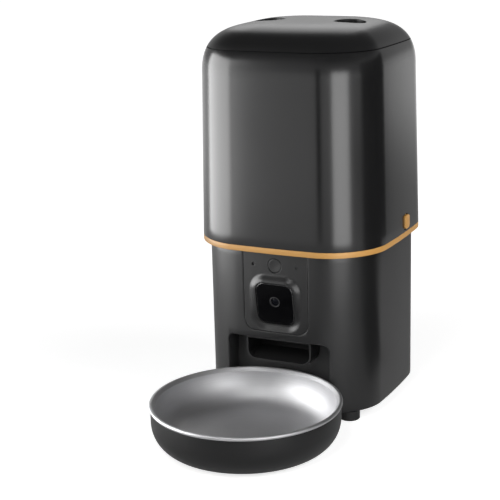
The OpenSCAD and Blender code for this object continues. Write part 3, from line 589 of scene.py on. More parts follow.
def cut_back(base):
    """Cuts the power inlet's hole and the speaker's grille."""
    socket_x, _, socket_z = middle_of("power_socket")
    speaker_z = middle_of("speaker")[2]
    holes = [(socket_x, socket_z, SOCKET_R)]
    for k in range(GRILLE_RINGS):
        r = GRILLE_PITCH * k
        count = max(1, 6 * k)
        for j in range(count):
            turn = 2 * math.pi * j / count
            holes.append((r * math.cos(turn), speaker_z + r * math.sin(turn), GRILLE_R))
    for x, z, r in holes:
        at = facing(x, base_inner - HOLE_INSET, z)
        combine(base, cylinder_along(at, r, HOLE_LENGTH, 32), "DIFFERENCE")


def make_base():
    """Base housing with the alcove, the panel's opening and the holes at the back."""
    rings = [plan_ring(base_inner, base_foot)]
    for turn in np.linspace(0, math.pi / 2, 6):
        level = base_foot + FOOT_EDGE * (1 - math.cos(turn))
        rings.append(plan_ring(base_half - FOOT_EDGE * (1 - math.sin(turn)), level))
    levels = np.linspace(base_foot + FOOT_EDGE, base_top - EDGE_R, 24)[1:]
    rings += [plan_ring(base_half, z) for z in levels]
    rings += rounded_edge(lambda z: base_half, base_top, 1)[1:]
    rings += [plan_ring(base_inner, base_top)]
    base = loft("base_shell_skin", rings, closed=True)
    add_walls(base)
    cut_front(base)
    cut_back(base)
    return smooth(base)


# Front panel with the camera's swelled surround

WINDOW_W = 33.0
WINDOW_H = 35.4
WINDOW_R = 7.5
WINDOW_TILT = 8.0
WINDOW_PROUD = 0.2
WINDOW_T = 2.4
WINDOW_ROUND = 0.9
WINDOW_FACE = -0.6
WINDOW_SHARES = (0.15, 0.4, 0.7, 1.0)
BEZEL_FACE = -0.7
BEZEL_W = 0.5
BEZEL_BACK = 2.4
SWELL_EDGE = 6.6
SHEET_STEP = 0.5
TOP_REACH = 9
TOP_DROP = 5
POCKET_REACH = 4
LENS_R = 4.5
LENS_RISE = 1.8
LENS_RIM = 0.9
LENS_SLIP = 0.1
LENS_PROUD = 0.2
LENS_START = -2
LENS_LENGTH = 12
LENS_EASE = ((0, 0.25), (0.07, 0.07), (0.25, 0))
GLASS_SEAT = 1.6
GLASS_SLIP = 0.05
GLASS_BULGE = 8.0
GLASS_FRONT = -0.2
GLASS_STEPS = 16
BUTTON_R = 5.8
BUTTON_EDGE = 0.35
BUTTON_EASE = 0.4
BUTTON_FLANGE = 1.3
BUTTON_DISH = ((0, 0.25), (0.35, 0.2), (0.6, 0.1), (0.8, 0.02))
MICROPHONE_HOLE = (1.3, 0.2)
LIGHT_HOLE = (1.25, 0.15)
HOLE_DEPTH = 6
window_y = -base_half - WINDOW_PROUD
window_z = middle_of("camera_window")[2]
tilt = math.radians(WINDOW_TILT)
at_window = Matrix.Translation((0, window_y, window_z)) @ Matrix.Rotation(tilt, 4, "X")


def panel_face(x, z):
    """Depth of the panel's face, and how far it is drawn to the window's tilted plane."""
    up = (z - window_z - BEZEL_FACE * math.sin(tilt)) / math.cos(tilt)
    plane = window_y + BEZEL_FACE * math.cos(tilt) - up * math.sin(tilt)
    corner = WINDOW_R + BEZEL_W
    qx = np.abs(x) - (WINDOW_W / 2 + BEZEL_W - corner)
    qz = np.abs(up) - (WINDOW_H / 2 + BEZEL_W - corner)
    beyond = np.hypot(np.maximum(qx, 0), np.maximum(qz, 0))
    away = beyond + np.minimum(np.maximum(qx, qz), 0) - corner
    share = np.clip(away / SWELL_EDGE, 0, 1)
    weight = 1 - share * share * (3 - 2 * share)
    return front_y(x) * (1 - weight) + plane * weight, weight


def panel_sheet():
    """The untrimmed panel: a curved sheet, thicker behind the window."""
    step = SHEET_STEP
    xs = np.arange(-PANEL_W / 2 - OVERCUT, PANEL_W / 2 + OVERCUT + step / 2, step)
    zs = np.arange(PANEL_FOOT - OVERCUT, base_top + OVERCUT + step / 2, step)
    grid_x, grid_z = np.meshgrid(xs, zs)
    face, weight = panel_face(grid_x, grid_z)
    back = face + WALL + BEZEL_BACK * weight
    front_points = np.stack([grid_x, face, grid_z], -1).reshape(-1, 3)
    back_points = np.stack([grid_x, back, grid_z], -1).reshape(-1, 3)
    rows, columns = grid_x.shape
    count = rows * columns
    faces = []
    for i in range(rows - 1):
        for j in range(columns - 1):
            a = i * columns + j
            quad = (a, a + 1, a + columns + 1, a + columns)
            faces.append(quad)
            faces.append(tuple(count + q for q in reversed(quad)))
    rim = list(range(columns))
    rim += [i * columns + columns - 1 for i in range(1, rows)]
    rim += [(rows - 1) * columns + j for j in range(columns - 2, -1, -1)]
    rim += [i * columns for i in range(rows - 2, 0, -1)]
    for a, b in zip(rim, rim[1:] + rim[:1]):
        faces.append((a, b, count + b, count + a))
    return solid("front_panel_skin", np.vstack([front_points, back_points]), faces)


def make_panel():
    """Front panel, its surround, and the openings for window, button, microphone and light."""
    panel = panel_sheet()
    trim = front_slab(
        "panel_edge", lambda g: panel_outline(-g), outside, panel_end, mouth(PANEL_EDGE)[1:])
    combine(panel, trim, "INTERSECT")
    levels = (PANEL_FOOT - TOP_DROP, base_top)
    combine(panel, loft("top", [plan_ring(base_half + TOP_REACH, z) for z in levels]), "INTERSECT")
    flat = rounded(WINDOW_W, WINDOW_H, WINDOW_R, SHADOW_GAP)
    pocket = loft("pocket", [
        [at_window @ Vector((x, depth, z)) for x, z in flat]
        for depth in (BEZEL_FACE - POCKET_REACH, WINDOW_FACE + WINDOW_T)])
    combine(panel, pocket, "DIFFERENCE")
    lens_at = at_window @ facing(0, LENS_START, LENS_RISE)
    combine(panel, cylinder_along(lens_at, LENS_R + SLIP, LENS_LENGTH), "DIFFERENCE")
    light_x = middle_of("status_light")[0]
    holes = [(0, BUTTON_R + SLIP, BUTTON_EDGE)]
    holes += [(-light_x, *MICROPHONE_HOLE), (light_x, *LIGHT_HOLE)]
    for x, r, edge_r in holes:
        profile = [(0, -MOUTH_REACH)]
        profile += [(r + grow, depth) for depth, grow in mouth(edge_r)]
        profile += [(r, HOLE_DEPTH), (0, HOLE_DEPTH)]
        at = facing(x, float(front_y(x)), button_z)
        combine(panel, turned("hole", profile, at, 64), "DIFFERENCE")
    return smooth(panel)


def make_window():
    """Gloss window with a rounded edge and the lens opening."""
    lens_at = np.array([0, LENS_RISE])
    rings = []

    def ring(growth, depth, share=0.0):
        flat = rounded(WINDOW_W, WINDOW_H, WINDOW_R, growth, steps=14, side=12)
        lens = flat - lens_at
        circle = lens / np.linalg.norm(lens, axis=1)[:, None] * (LENS_R + LENS_SLIP) + lens_at
        flat = flat * (1 - share) + circle * share
        rings.append([at_window @ Vector((x, depth, z)) for x, z in flat])

    back = WINDOW_FACE + WINDOW_T
    ring(0, back)
    for turn in np.linspace(0, math.pi / 2, 9):
        fall = WINDOW_ROUND * (1 - math.sin(turn))
        ring(-WINDOW_ROUND * (1 - math.cos(turn)), WINDOW_FACE + fall)
    for share in WINDOW_SHARES:
        ring(-WINDOW_ROUND, WINDOW_FACE, share)
    ring(0, back, 1.0)
    return smooth(loft("camera_window_skin", rings, closed=True))


def make_lens():
    """Lens barrel with a stepped rim round a domed glass."""
    axis = at_window @ facing(0, 0, LENS_RISE)
    face = WINDOW_FACE - LENS_PROUD
    seat = face + GLASS_SEAT
    inner = LENS_R - LENS_RIM
    profile = [(0, LENS_LENGTH), (LENS_R, LENS_LENGTH)]
    profile += [(LENS_R - inset, face + fall) for inset, fall in LENS_EASE]
    profile += [(inner + inset, face + fall) for inset, fall in reversed(LENS_EASE)]
    profile += [(inner, seat), (0, seat)]
    barrel = smooth(turned("lens_barrel_skin", profile, axis))
    glass_r = inner - GLASS_SLIP
    end = math.asin(glass_r / GLASS_BULGE)
    dome = []
    for j in range(GLASS_STEPS + 1):
        turn = end * j / GLASS_STEPS
        fall = GLASS_BULGE * (1 - math.cos(turn))
        dome.append((GLASS_BULGE * math.sin(turn), GLASS_FRONT + fall))
    glass = smooth(turned("lens_glass_skin", dome + [(glass_r, seat), (0, seat)], axis))
    return barrel, glass


def make_button():
    """Feed button with an eased edge, a shallow finger dish and a flange behind the panel."""
    depth = button_high.y - button_low.y
    flange_r = button_high.x
    flange_at = depth - BUTTON_FLANGE
    profile = [(BUTTON_R * share, fall) for share, fall in BUTTON_DISH]
    profile += arc_profile((BUTTON_R - BUTTON_EASE, BUTTON_EASE), BUTTON_EASE, -90, 0, 5)
    profile += [(BUTTON_R, flange_at), (flange_r, flange_at), (flange_r, depth), (0, depth)]
    return smooth(turned("feed_button_skin", profile, facing(0, button_low.y, button_z)))


# Bowl, holder and feet

SHEET = 0.9
BEAD_R = 1.6
BEAD_RISE = 1.2
BEAD_START = 140
BEAD_IN = 2.3
BOWL_CURVE_W = 22.2
HOLDER_T = 2.4
HOLDER_EASE = 0.6
HOLDER_FLOOR = 3.0
HOLDER_CURVE_W = 20
HOLDER_CURVE_H = 22
TONGUE_W = 32
TONGUE_R = 5
TONGUE_START = 20
TONGUE_LOW = 1.6
TONGUE_HIGH = 6.0
TONGUE_EASE = 0.5
CORE_H = 60
FOOT_R = 8.5
FOOT_EASE = 1.0


def make_bowl():
    """Steel bowl with a rolled rim."""
    seat = holder_high.z
    floor = bowl_low.z
    bead_out = bowl_high.x - BEAD_R
    wall_r = bead_out - BEAD_IN
    floor_r = wall_r - BOWL_CURVE_W
    bead_end = -math.degrees(math.asin(BEAD_RISE / BEAD_R))
    profile = [(floor_r * j / 12, floor + SHEET) for j in range(12)]
    profile += quarter(floor_r, wall_r - SHEET, floor + SHEET, seat, 40)
    profile += arc_profile((bead_out, seat + BEAD_RISE), BEAD_R, BEAD_START, bead_end, 28)
    profile += quarter(floor_r, wall_r, floor, seat, 40)[::-1]
    profile += [(0, floor)]
    return smooth(turned("steel_bowl_skin", profile, upright(0, bowl_y), 192))


def make_holder():
    """Matt holder under the bowl, with the tongue that slides under the base."""
    r = holder_high.x
    inner = r - HOLDER_T
    edge_z = holder_high.z - HOLDER_EASE
    profile = [(0, HOLDER_FLOOR)]
    profile += quarter(inner - HOLDER_CURVE_W, inner, HOLDER_FLOOR, HOLDER_CURVE_H, 32)
    profile += arc_profile((inner + HOLDER_EASE, edge_z), HOLDER_EASE, 180, 90, 5)
    profile += arc_profile((r - HOLDER_EASE, edge_z), HOLDER_EASE, 90, 0, 5)
    profile += quarter(r - HOLDER_CURVE_W, r, 0, HOLDER_CURVE_H, 32)[::-1]
    profile += [(0, 0)]
    holder = turned("bowl_holder_skin", profile, upright(0, bowl_y), 192)
    end = holder_high.y - bowl_y
    middle = np.array([0, (end + TONGUE_START) / 2 + bowl_y])
    stations = [(TONGUE_LOW, -TONGUE_EASE), (TONGUE_LOW + TONGUE_EASE, 0)]
    stations += [(TONGUE_HIGH - TONGUE_EASE, 0), (TONGUE_HIGH, -TONGUE_EASE)]
    rings = []
    for z, growth in stations:
        flat = rounded(TONGUE_W, end - TONGUE_START, TONGUE_R, growth)
        rings.append(level_ring(flat + middle, z))
    tongue = loft("tongue", rings)
    core_r = inner - HOLDER_CURVE_W - OVERCUT
    core = cylinder_along(upright(0, bowl_y, -OVERCUT), core_r, CORE_H, 96)
    combine(tongue, core, "DIFFERENCE")
    combine(holder, tongue, "UNION")
    return smooth(holder)


def make_feet():
    """Four rubber feet with eased edges, as one piece."""
    at = feet_high.x - FOOT_R
    h = feet_high.z
    profile = [(0, 0), (FOOT_R / 2, 0)]
    profile += arc_profile((FOOT_R - FOOT_EASE, FOOT_EASE), FOOT_EASE, -90, 0, 6)
    profile += [(FOOT_R, h), (0, h)]
    feet = None
    for x in (-1, 1):
        for y in (-1, 1):
            foot = turned("rubber_feet_skin", profile, upright(x * at, y * at), 64)
            if feet is None:
                feet = foot
                continue
            work = bmesh.new()
            work.from_mesh(feet.data)
            work.from_mesh(foot.data)
            work.to_mesh(feet.data)
            work.free()
            bpy.data.objects.remove(foot)
    return smooth(feet)


# Materials: the noise's middle range, the play in a plastic's gloss, depths of relief in metres

NOISE_MIDDLE = (0.3, 0.7)
GLOSS_PLAY = 0.015
MARK_DEPTH = 0.00001
STEEL_DEPTH = 0.000008
PEBBLE_DEPTH = 0.00005
TRACE_DEPTH = 0.00003


def new_material(name):
    """An empty node material with its shader."""
    material = bpy.data.materials.new(name)
    material.use_nodes = True
    tree = material.node_tree
    return material, tree, tree.nodes["Principled BSDF"]


def fill(socket, source):
    """Links a socket to another one, or gives it a fixed value."""
    if isinstance(source, bpy.types.NodeSocket):
        socket.id_data.links.new(source, socket)
    else:
        socket.default_value = source


def put(node, **inputs):
    """Fills some of a node's inputs."""
    for key, source in inputs.items():
        fill(node.inputs[key.replace("_", " ")], source)
    return node


def add(tree, kind, **inputs):
    """A node with some of its inputs filled."""
    return put(tree.nodes.new(kind), **inputs)


def work_out(tree, operation, *sources, kind="ShaderNodeMath"):
    """A node that works on values, in the order of its inputs."""
    node = tree.nodes.new(kind)
    node.operation = operation
    for socket, source in zip(node.inputs, sources):
        fill(socket, source)
    return node


def noise(tree, scale, detail, stretch=None):
    """Noise in the object's own space, in cycles per metre."""
    source = add(tree, "ShaderNodeTexCoord").outputs["Object"]
    if stretch:
        source = add(tree, "ShaderNodeMapping", Scale=stretch, Vector=source).outputs["Vector"]
    texture = add(tree, "ShaderNodeTexNoise", Scale=scale, Detail=detail, Vector=source)
    return texture.outputs["Fac"]


def spread(shader, value, low, high):
    """Maps noise from its middle range to a range of roughness."""
    first, last = NOISE_MIDDLE
    node = add(
        shader.id_data, "ShaderNodeMapRange", Value=value,
        From_Min=first, From_Max=last, To_Min=low, To_Max=high)
    put(shader, Roughness=node.outputs["Result"])


def vary(shader, value, colour, low, high):
    """Blends a darker and a lighter shade of a colour by noise."""
    ramp = add(shader.id_data, "ShaderNodeValToRGB", Fac=value)
    for k, factor in enumerate((low, high)):
        ramp.color_ramp.elements[k].position = NOISE_MIDDLE[k]
        ramp.color_ramp.elements[k].color = (*shade(colour, factor), 1)
    put(shader, Base_Color=ramp.outputs["Color"])


def bump(shader, value, depth, strength):
    """Relief of a real depth, in metres."""
    node = add(
        shader.id_data, "ShaderNodeBump", Strength=strength, Distance=depth, Height=value)
    put(shader, Normal=node.outputs["Normal"])


def shade(colour, factor):
    """A colour made lighter or darker."""
    return tuple(c * factor for c in colour)


def plastic(name, colour, roughness, grain=2600, depth=0.00002, tone=0.06, level=0.5):
    """Moulded plastic: a fine grain, uneven gloss and a little variation in tone."""
    material, tree, shader = new_material(name)
    fine = noise(tree, grain, 2)
    broad = noise(tree, 18, 4)
    vary(shader, broad, colour, 1 - tone, 1 + tone)
    spread(shader, broad, roughness - GLOSS_PLAY, roughness + GLOSS_PLAY)
    bump(shader, fine, depth, 0.4)
    put(shader, Specular_IOR_Level=level)
    return material


def metal(name, colour, roughness, scratch):
    """Metal with fine marks stretched along one way."""
    material, tree, shader = new_material(name)
    put(shader, Metallic=1.0)
    marks = noise(tree, 400, 4, scratch)
    vary(shader, noise(tree, 30, 3), colour, 0.94, 1.04)
    spread(shader, marks, roughness - 0.06, roughness + 0.06)
    bump(shader, marks, MARK_DEPTH, 0.3)
    return material


def turned_steel(name, colour, roughness):
    """Steel spun on a lathe: rings of fine marks round the bowl's axis."""
    material, tree, shader = new_material(name)
    put(shader, Metallic=1.0)
    place = add(tree, "ShaderNodeTexCoord").outputs["Object"]
    centre = tower_foot + Vector((0, bowl_y * MM, 0))
    away = work_out(tree, "SUBTRACT", place, centre, kind="ShaderNodeVectorMath")
    split = add(tree, "ShaderNodeSeparateXYZ", Vector=away.outputs["Vector"]).outputs
    flat = add(tree, "ShaderNodeCombineXYZ", X=split["X"], Y=split["Y"]).outputs["Vector"]
    reach = work_out(tree, "LENGTH", flat, kind="ShaderNodeVectorMath").outputs["Value"]
    path = add(tree, "ShaderNodeCombineXYZ", X=reach, Z=split["Z"]).outputs["Vector"]
    rings = add(tree, "ShaderNodeTexNoise", Scale=1500.0, Detail=4.0, Vector=path)
    marks = rings.outputs["Fac"]
    vary(shader, noise(tree, 25, 3), colour, 0.95, 1.03)
    spread(shader, marks, roughness - 0.06, roughness + 0.08)
    bump(shader, marks, STEEL_DEPTH, 0.25)
    return material


def rubber(name, colour):
    """Matt rubber with a pebbled grain."""
    material, tree, shader = new_material(name)
    broad = noise(tree, 40, 3)
    vary(shader, broad, colour, 0.8, 1.25)
    spread(shader, broad, 0.7, 0.85)
    bump(shader, noise(tree, 1600, 5), PEBBLE_DEPTH, 0.5)
    return material


def gloss(name, colour, roughness, level):
    """Polished window: nearly black, with faint wipe marks in its gloss."""
    material, tree, shader = new_material(name)
    wipe = noise(tree, 60, 5, (1, 1, 4))
    vary(shader, wipe, colour, 0.85, 1.15)
    spread(shader, wipe, roughness * 0.6, roughness * 1.5)
    put(shader, Specular_IOR_Level=level)
    return material


def circuit(name, colour):
    """Circuit board: solder mask over a grid of traces."""
    material, tree, shader = new_material(name)
    place = add(tree, "ShaderNodeTexCoord").outputs["Object"]
    traces = add(
        tree, "ShaderNodeTexBrick", Vector=place, Scale=160, Mortar_Size=0.03,
        Color1=(*colour, 1), Color2=(*shade(colour, 0.75), 1), Mortar=(*shade(colour, 2.2), 1))
    put(shader, Base_Color=traces.outputs["Color"])
    spread(shader, noise(tree, 300, 3), 0.3, 0.45)
    bump(shader, traces.outputs["Fac"], TRACE_DEPTH, 0.4)
    return material


TANK = plastic("tank_plastic", (0.0095, 0.0095, 0.0098), 0.21)
LID = plastic("lid_plastic", (0.0085, 0.0085, 0.0088), 0.3)
# Painted shade: a darker, duller plastic for the groove between tank and lid, standing in for the
# shadow in the seam
SEAM_PAINTED_SHADE = plastic("seam_painted_shade", (0.004, 0.004, 0.0042), 0.7, level=0.1)
BASE = plastic(
    "base_plastic", (0.0105, 0.0105, 0.0108), 0.32, grain=2200, depth=0.00003, level=0.45)
# Painted light: the housing's plastic in a lighter colour for the alcove's walls, standing in for
# fill light in the recess
ALCOVE_PAINTED_FILL = plastic(
    "alcove_painted_fill", (0.032, 0.032, 0.0325), 0.5, grain=1500, depth=0.00005, level=0.3)
HOLDER = plastic(
    "holder_plastic", (0.009, 0.009, 0.0093), 0.42, grain=1800, depth=0.00004, level=0.28)
INNER = plastic("inner_plastic", (0.05, 0.05, 0.052), 0.5)
ACCENT = plastic("accent_plastic", (0.56, 0.29, 0.075), 0.38, tone=0.04)
CASE = plastic("case_plastic", (0.3, 0.3, 0.32), 0.5)
GEAR = plastic("gear_plastic", (0.76, 0.73, 0.64), 0.42, grain=1200)
SPEAKER = plastic("speaker_black", (0.02, 0.02, 0.02), 0.6, grain=900, depth=0.00008)
CLEAR = plastic("clear_plastic", (0.008, 0.008, 0.0085), 0.45, tone=0.05, level=0.3)
WINDOW = gloss("window_plastic", (0.003, 0.003, 0.0035), 0.12, 0.05)
WINDOW_EDGE = gloss("window_edge", (0.006, 0.006, 0.0065), 0.22, 0.6)
LENS = gloss("lens_glass", (0.003, 0.0035, 0.006), 0.08, 0.1)
BARREL = plastic("barrel_plastic", (0.02, 0.02, 0.021), 0.35, grain=3000)
SILICONE = rubber("soft_silicone", (0.5, 0.5, 0.5))
RUBBER = rubber("foot_rubber", (0.012, 0.012, 0.012))
STEEL = turned_steel("bowl_steel", (0.5, 0.5, 0.51), 0.52)
BRIGHT = metal("bright_steel", (0.6, 0.6, 0.61), 0.28, (1, 1, 8))
BRONZE = metal("bronze", (0.6, 0.42, 0.2), 0.35, (6, 6, 1))
MOTOR = metal("motor_metal", (0.5, 0.5, 0.51), 0.38, (1, 1, 0.2))
BOARD = circuit("board", (0.015, 0.11, 0.045))

NODE_MATERIALS = {
    "lid_liner": INNER, "lid_seal": SILICONE, "hopper_funnel": INNER, "camera_board": BOARD,
    "button_board": BOARD, "status_light": CLEAR, "microphone": MOTOR, "dispenser_deck": INNER,
    "outlet_shield": INNER, "chute": BASE, "rotor_hub": ACCENT, "rotor_vanes": SILICONE,
    "drive_shaft": BRIGHT, "drive_gear": GEAR, "shaft_bushes": BRONZE, "gear_tray": CASE,
    "gear_cover": CASE, "idler_gear": GEAR, "idler_pin": BRIGHT, "motor": MOTOR,
    "motor_shaft": BRIGHT, "motor_pinion": BRONZE, "main_board": BOARD, "speaker": SPEAKER,
    "power_socket": HOLDER, "bottom_plate": INNER, "bottom_screws": BRIGHT}


def dress(obj, material):
    """Gives an object one material."""
    obj.data.materials.clear()
    obj.data.materials.append(material)


WELD_REACH = 0.002
EASE_W = 0.25
EASE_ANGLE = 40
FACE_SLACK = 0.02
SEAM_SLACK = 0.01


def ease_edges(obj):
    """Small rounded edges on a carried-over part."""
    weld = obj.modifiers.new("weld", "WELD")
    weld.merge_threshold = WELD_REACH * MM
    edge = obj.modifiers.new("edges", "BEVEL")
    edge.width = EASE_W * MM
    edge.segments = 2
    edge.limit_method = "ANGLE"
    edge.angle_limit = math.radians(EASE_ANGLE)
    normals = obj.modifiers.new("normals", "WEIGHTED_NORMAL")
    normals.keep_sharp = True


def stand_for(obj, node, body, material):
    """Puts a finished piece in a CAD node's place, on its body."""
    dress(obj, material)
    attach(obj, body)
    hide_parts(node)
    return obj


def refinish(piece, material, chosen):
    """Gives a second material to the faces whose middle, in millimetres, is chosen."""
    piece.data.materials.append(material)
    for face in piece.data.polygons:
        if chosen((face.center - tower_foot) / MM):
            face.material_index = 1


def on_window_edge(point):
    """On the window's rounded edge, which has a brighter polish than its face."""
    depth = (at_window.inverted() @ point).y
    return WINDOW_FACE + FACE_SLACK < depth < WINDOW_FACE + WINDOW_ROUND


def in_seam(point):
    """In the groove between tank and lid, whose faces get a dull plastic painted dark as the shade
    in the gap.
    """
    return -SEAM_SLACK < point.z - lid_line < PARTING_GAP + SEAM_SLACK


def in_alcove(point):
    """In the alcove, whose grain is coarser and duller than the housing's outside and whose colour
    is painted lighter, as painted light that stands in for fill light in the recess.
    """
    x, y, z = point
    across = abs(x) < ALCOVE_W / 2 + SLIP and z < ALCOVE_TOP + SLIP
    return across and front_y(x) + ALCOVE_EDGE < y < SLIP - ALCOVE_BACK


def make_pieces():
    """All finished pieces, and the finish of the parts that carry over."""
    tank = stand_for(make_tank(), "tank_shell", "tank", TANK)
    # The groove's faces on the tank and the lid get the painted shade of the seam
    refinish(tank, SEAM_PAINTED_SHADE, in_seam)
    stand_for(make_ring(), "accent_ring", "tank", ACCENT)
    lid = stand_for(make_lid(), "lid", "lid", LID)
    refinish(lid, SEAM_PAINTED_SHADE, in_seam)
    for side, name in ((-1, "release_left"), (1, "release_right")):
        latch = make_latch(side)
        latch.name = name + "_skin"
        stand_for(latch, name, name, ACCENT)
    base = stand_for(make_base(), "base_shell", "base", BASE)
    # The alcove's faces get the painted light of the lighter plastic
    refinish(base, ALCOVE_PAINTED_FILL, in_alcove)
    stand_for(make_panel(), "front_panel", "base", BASE)
    window = stand_for(make_window(), "camera_window", "base", WINDOW)
    refinish(window, WINDOW_EDGE, on_window_edge)
    barrel, glass = make_lens()
    stand_for(barrel, "lens_barrel", "base", BARREL)
    stand_for(glass, "lens_glass", "base", LENS)
    stand_for(make_button(), "feed_button", "feed_button", BASE)
    stand_for(make_bowl(), "steel_bowl", "bowl", STEEL)
    stand_for(make_holder(), "bowl_holder", "holder", HOLDER)
    stand_for(make_feet(), "rubber_feet", "base", RUBBER)
    for node, material in NODE_MATERIALS.items():
        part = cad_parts[node]
        dress(part, material)
        ease_edges(part)


# Camera, fitted to the photograph: angles in radians, distances in metres from the tower's foot

CAMERA_TURN = 0.415
CAMERA_AWAY = 1.0889
CAMERA_HIGH = 0.4212
CAMERA_YAW = 0.049
CAMERA_PITCH = 0.266
CAMERA_ROLL = -0.027
FRAME_PIXELS = 500
FOCAL_PIXELS = 1320.3
SENSOR_MM = 36.0


def make_camera():
    """Camera at the photograph's viewing angle."""
    data = bpy.data.cameras.new("camera")
    camera = new_object("camera", data)
    turn = CAMERA_TURN + CAMERA_YAW
    forward = Vector((
        -math.sin(turn) * math.cos(CAMERA_PITCH),
        math.cos(turn) * math.cos(CAMERA_PITCH),
        -math.sin(CAMERA_PITCH)))
    right = forward.cross(Vector((0, 0, 1))).normalized()
    up = right.cross(forward)
    place = tower_foot + Vector((
        CAMERA_AWAY * math.sin(CAMERA_TURN), -CAMERA_AWAY * math.cos(CAMERA_TURN), CAMERA_HIGH))
    axes = Matrix((right, up, -forward)).transposed() @ Matrix.Rotation(CAMERA_ROLL, 3, "Z")
    camera.matrix_world = Matrix.Translation(place) @ axes.to_4x4()
    data.sensor_width = SENSOR_MM
    data.lens = FOCAL_PIXELS / FRAME_PIXELS * SENSOR_MM
    data.clip_start = 0.01
    data.clip_end = 100
    scene.camera = camera


# Studio: a pale floor, a white horizon that fades to dark overhead, soft lamps and dark cards

def seen_directly(tree):
    """The light path's outputs, and 1 for rays from the camera or through glass."""
    path = add(tree, "ShaderNodeLightPath").outputs
    first = work_out(tree, "MAXIMUM", path["Is Camera Ray"], path["Is Transmission Ray"])
    return path, first.outputs["Value"]


# Brightness of the sky at some degrees above the horizon
SKY = ((0, 1.0), (3.5, 0.5), (14, 0.45), (32, 0.08))


def make_world():
    """White to the camera; in reflections white at the horizon and dark overhead."""
    world = bpy.data.worlds.new("studio")
    world.use_nodes = True
    scene.world = world
    tree = world.node_tree
    direct = seen_directly(tree)[1]
    place = add(tree, "ShaderNodeTexCoord").outputs["Generated"]
    split = add(tree, "ShaderNodeSeparateXYZ", Vector=place)
    fade = add(tree, "ShaderNodeValToRGB", Fac=split.outputs["Z"])
    stops = fade.color_ramp.elements
    while len(stops) < len(SKY):
        stops.new(1.0)
    for stop, (rise, bright) in zip(stops, SKY):
        stop.position = math.sin(math.radians(rise))
        stop.color = (bright, bright, bright, 1)
    level = work_out(tree, "MAXIMUM", fade.outputs["Color"], direct)
    put(tree.nodes["Background"], Color=(1, 1, 1, 1), Strength=level.outputs["Value"])


SHEET_ROUGHNESS = 0.9


def make_sheet(name, points, scale, low, high):
    """A flat matt sheet of the studio in an uneven grey; gives it, its nodes and its shader."""
    mesh = bpy.data.meshes.new(name)
    mesh.from_pydata(points, [], [tuple(range(len(points)))])
    sheet = new_object(name, mesh)
    material, tree, shader = new_material(name)
    vary(shader, noise(tree, scale, 2), (1, 1, 1), low, high)
    put(shader, Roughness=SHEET_ROUGHNESS)
    dress(sheet, material)
    return sheet, tree, shader


# The floor's half size and gloss, and its glow near and far, to the camera and in gloss
FLOOR_HALF = 6.0
FLOOR_LEVEL = 0.1
FLOOR_SEEN = (0.72, 1.0)
FLOOR_SEEN_REACH = (0.2, 0.7)
FLOOR_GLOSS = (0.08, 1.0)
FLOOR_GLOSS_REACH = (0.6, 2.0)
FLOOR_DIM_AT = (0.55, 0.1, 0)


def make_floor():
    """Pale floor that keeps the object's shadow and is white further off."""
    points = [(-x * FLOOR_HALF, -y * FLOOR_HALF, 0) for x, y in SIGNS]
    tree, shader = make_sheet("floor", points, 3, 0.6, 0.63)[1:]
    path, direct = seen_directly(tree)
    place = add(tree, "ShaderNodeTexCoord").outputs["Object"]

    def glow_for(ray, centre, levels, reaches):
        """Glow that one kind of ray sees, from a level near a centre to one further off."""
        reach = work_out(tree, "DISTANCE", place, centre, kind="ShaderNodeVectorMath")
        level = add(
            tree, "ShaderNodeMapRange", Value=reach.outputs["Value"], From_Min=reaches[0],
            From_Max=reaches[1], To_Min=levels[0], To_Max=levels[1])
        level.interpolation_type = "SMOOTHSTEP"
        return work_out(tree, "MULTIPLY", ray, level.outputs["Result"]).outputs["Value"]

    glossy = path["Is Glossy Ray"]
    seen = glow_for(direct, (0, 0, 0), FLOOR_SEEN, FLOOR_SEEN_REACH)
    mirrored = glow_for(glossy, FLOOR_DIM_AT, FLOOR_GLOSS, FLOOR_GLOSS_REACH)
    glow = work_out(tree, "MAXIMUM", seen, mirrored)
    put(
        shader, Specular_IOR_Level=FLOOR_LEVEL, Emission_Color=(1, 1, 1, 1),
        Emission_Strength=glow.outputs["Value"])


def around(turn, away, height):
    """A place round the tower: turn in degrees from the front towards +X, distances in metres."""
    angle = math.radians(turn)
    return tower_foot + Vector((away * math.sin(angle), -away * math.cos(angle), height))


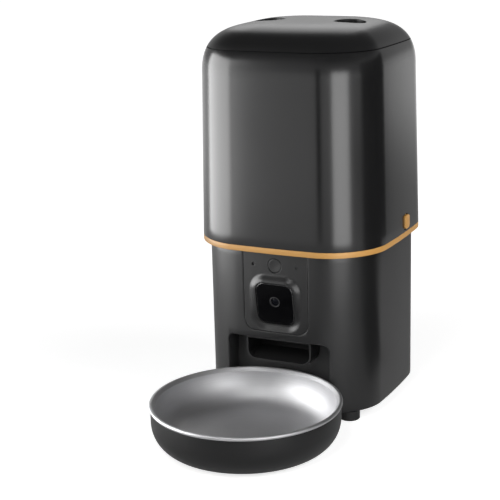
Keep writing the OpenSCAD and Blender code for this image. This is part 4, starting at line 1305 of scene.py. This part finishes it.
def make_lamp(name, place, aim, width, tall, radiance, cone=180, shines="both"):
    """Soft lamp of an even brightness, aimed at a place; its cone is in degrees.

    It shines on matt surfaces, in gloss, or on both.
    """
    data = bpy.data.lights.new(name, "AREA")
    data.shape = "RECTANGLE"
    data.size = width
    data.size_y = tall
    data.energy = radiance * math.pi * width * tall
    data.spread = math.radians(cone)
    lamp = new_object(name, data)
    lamp.location = place
    lamp.rotation_mode = "QUATERNION"
    lamp.rotation_quaternion = (aim - place).to_track_quat("-Z", "Y")
    lamp.visible_camera = False
    lamp.visible_diffuse = shines != "gloss"
    lamp.visible_glossy = shines != "matt"


CARD_LIFT = 0.0005


def make_card(name, turns, first, last):
    """Dark card that only shows in gloss, as a studio's black flag.

    It runs along some turns, between two edges given as (distance, height).
    """
    points = [around(t, *first) for t in turns]
    points += [around(t, *last) for t in reversed(turns)]
    card = make_sheet(name, points, 4, 0.008, 0.012)[0]
    card.visible_camera = False
    card.visible_diffuse = False
    card.visible_shadow = False
    card.visible_transmission = False


def make_studio():
    """Floor, backdrop, lamps and cards."""
    make_world()
    make_floor()
    make_lamp(
        "left_box", around(-62.2, 0.6, 0.25), around(0, 0, 0.25),
        width=0.69, tall=0.5, radiance=6.8, shines="gloss")
    make_lamp(
        "back_box", around(204, 0.8, 0.76), around(0, 0, 0.318),
        width=0.48, tall=0.54, radiance=1.25, shines="gloss")
    make_lamp(
        "strip_box", around(42.5, 0.55, 0.165), around(0, 0, 0.165),
        width=0.27, tall=0.33, radiance=4.7, shines="gloss")
    make_lamp(
        "front_key", around(-14, 1.2, 0.9), around(0, 0, 0.15),
        width=1.0, tall=0.8, radiance=3.8, shines="matt")
    make_lamp(
        "side_key", around(85, 0.95, 0.6), around(0, 0, 0.15),
        width=0.6, tall=0.6, radiance=6.2, shines="matt")
    make_lamp(
        "bowl_box", around(6, 0.4, 0.42), around(0, 0.13, 0.03),
        width=0.2, tall=0.2, radiance=0.35, cone=40)
    make_card("front_card", (-3, 7), (0.8, 0), (0.8, 0.4))
    make_card("right_card", (78, 111, 144), (0.6, 0), (0.6, 0.45))
    make_card("floor_card", (78, 100, 122), (0.16, CARD_LIFT), (0.6, CARD_LIFT))
    scene.view_settings.view_transform = "Standard"


make_camera()
make_pieces()
make_studio()
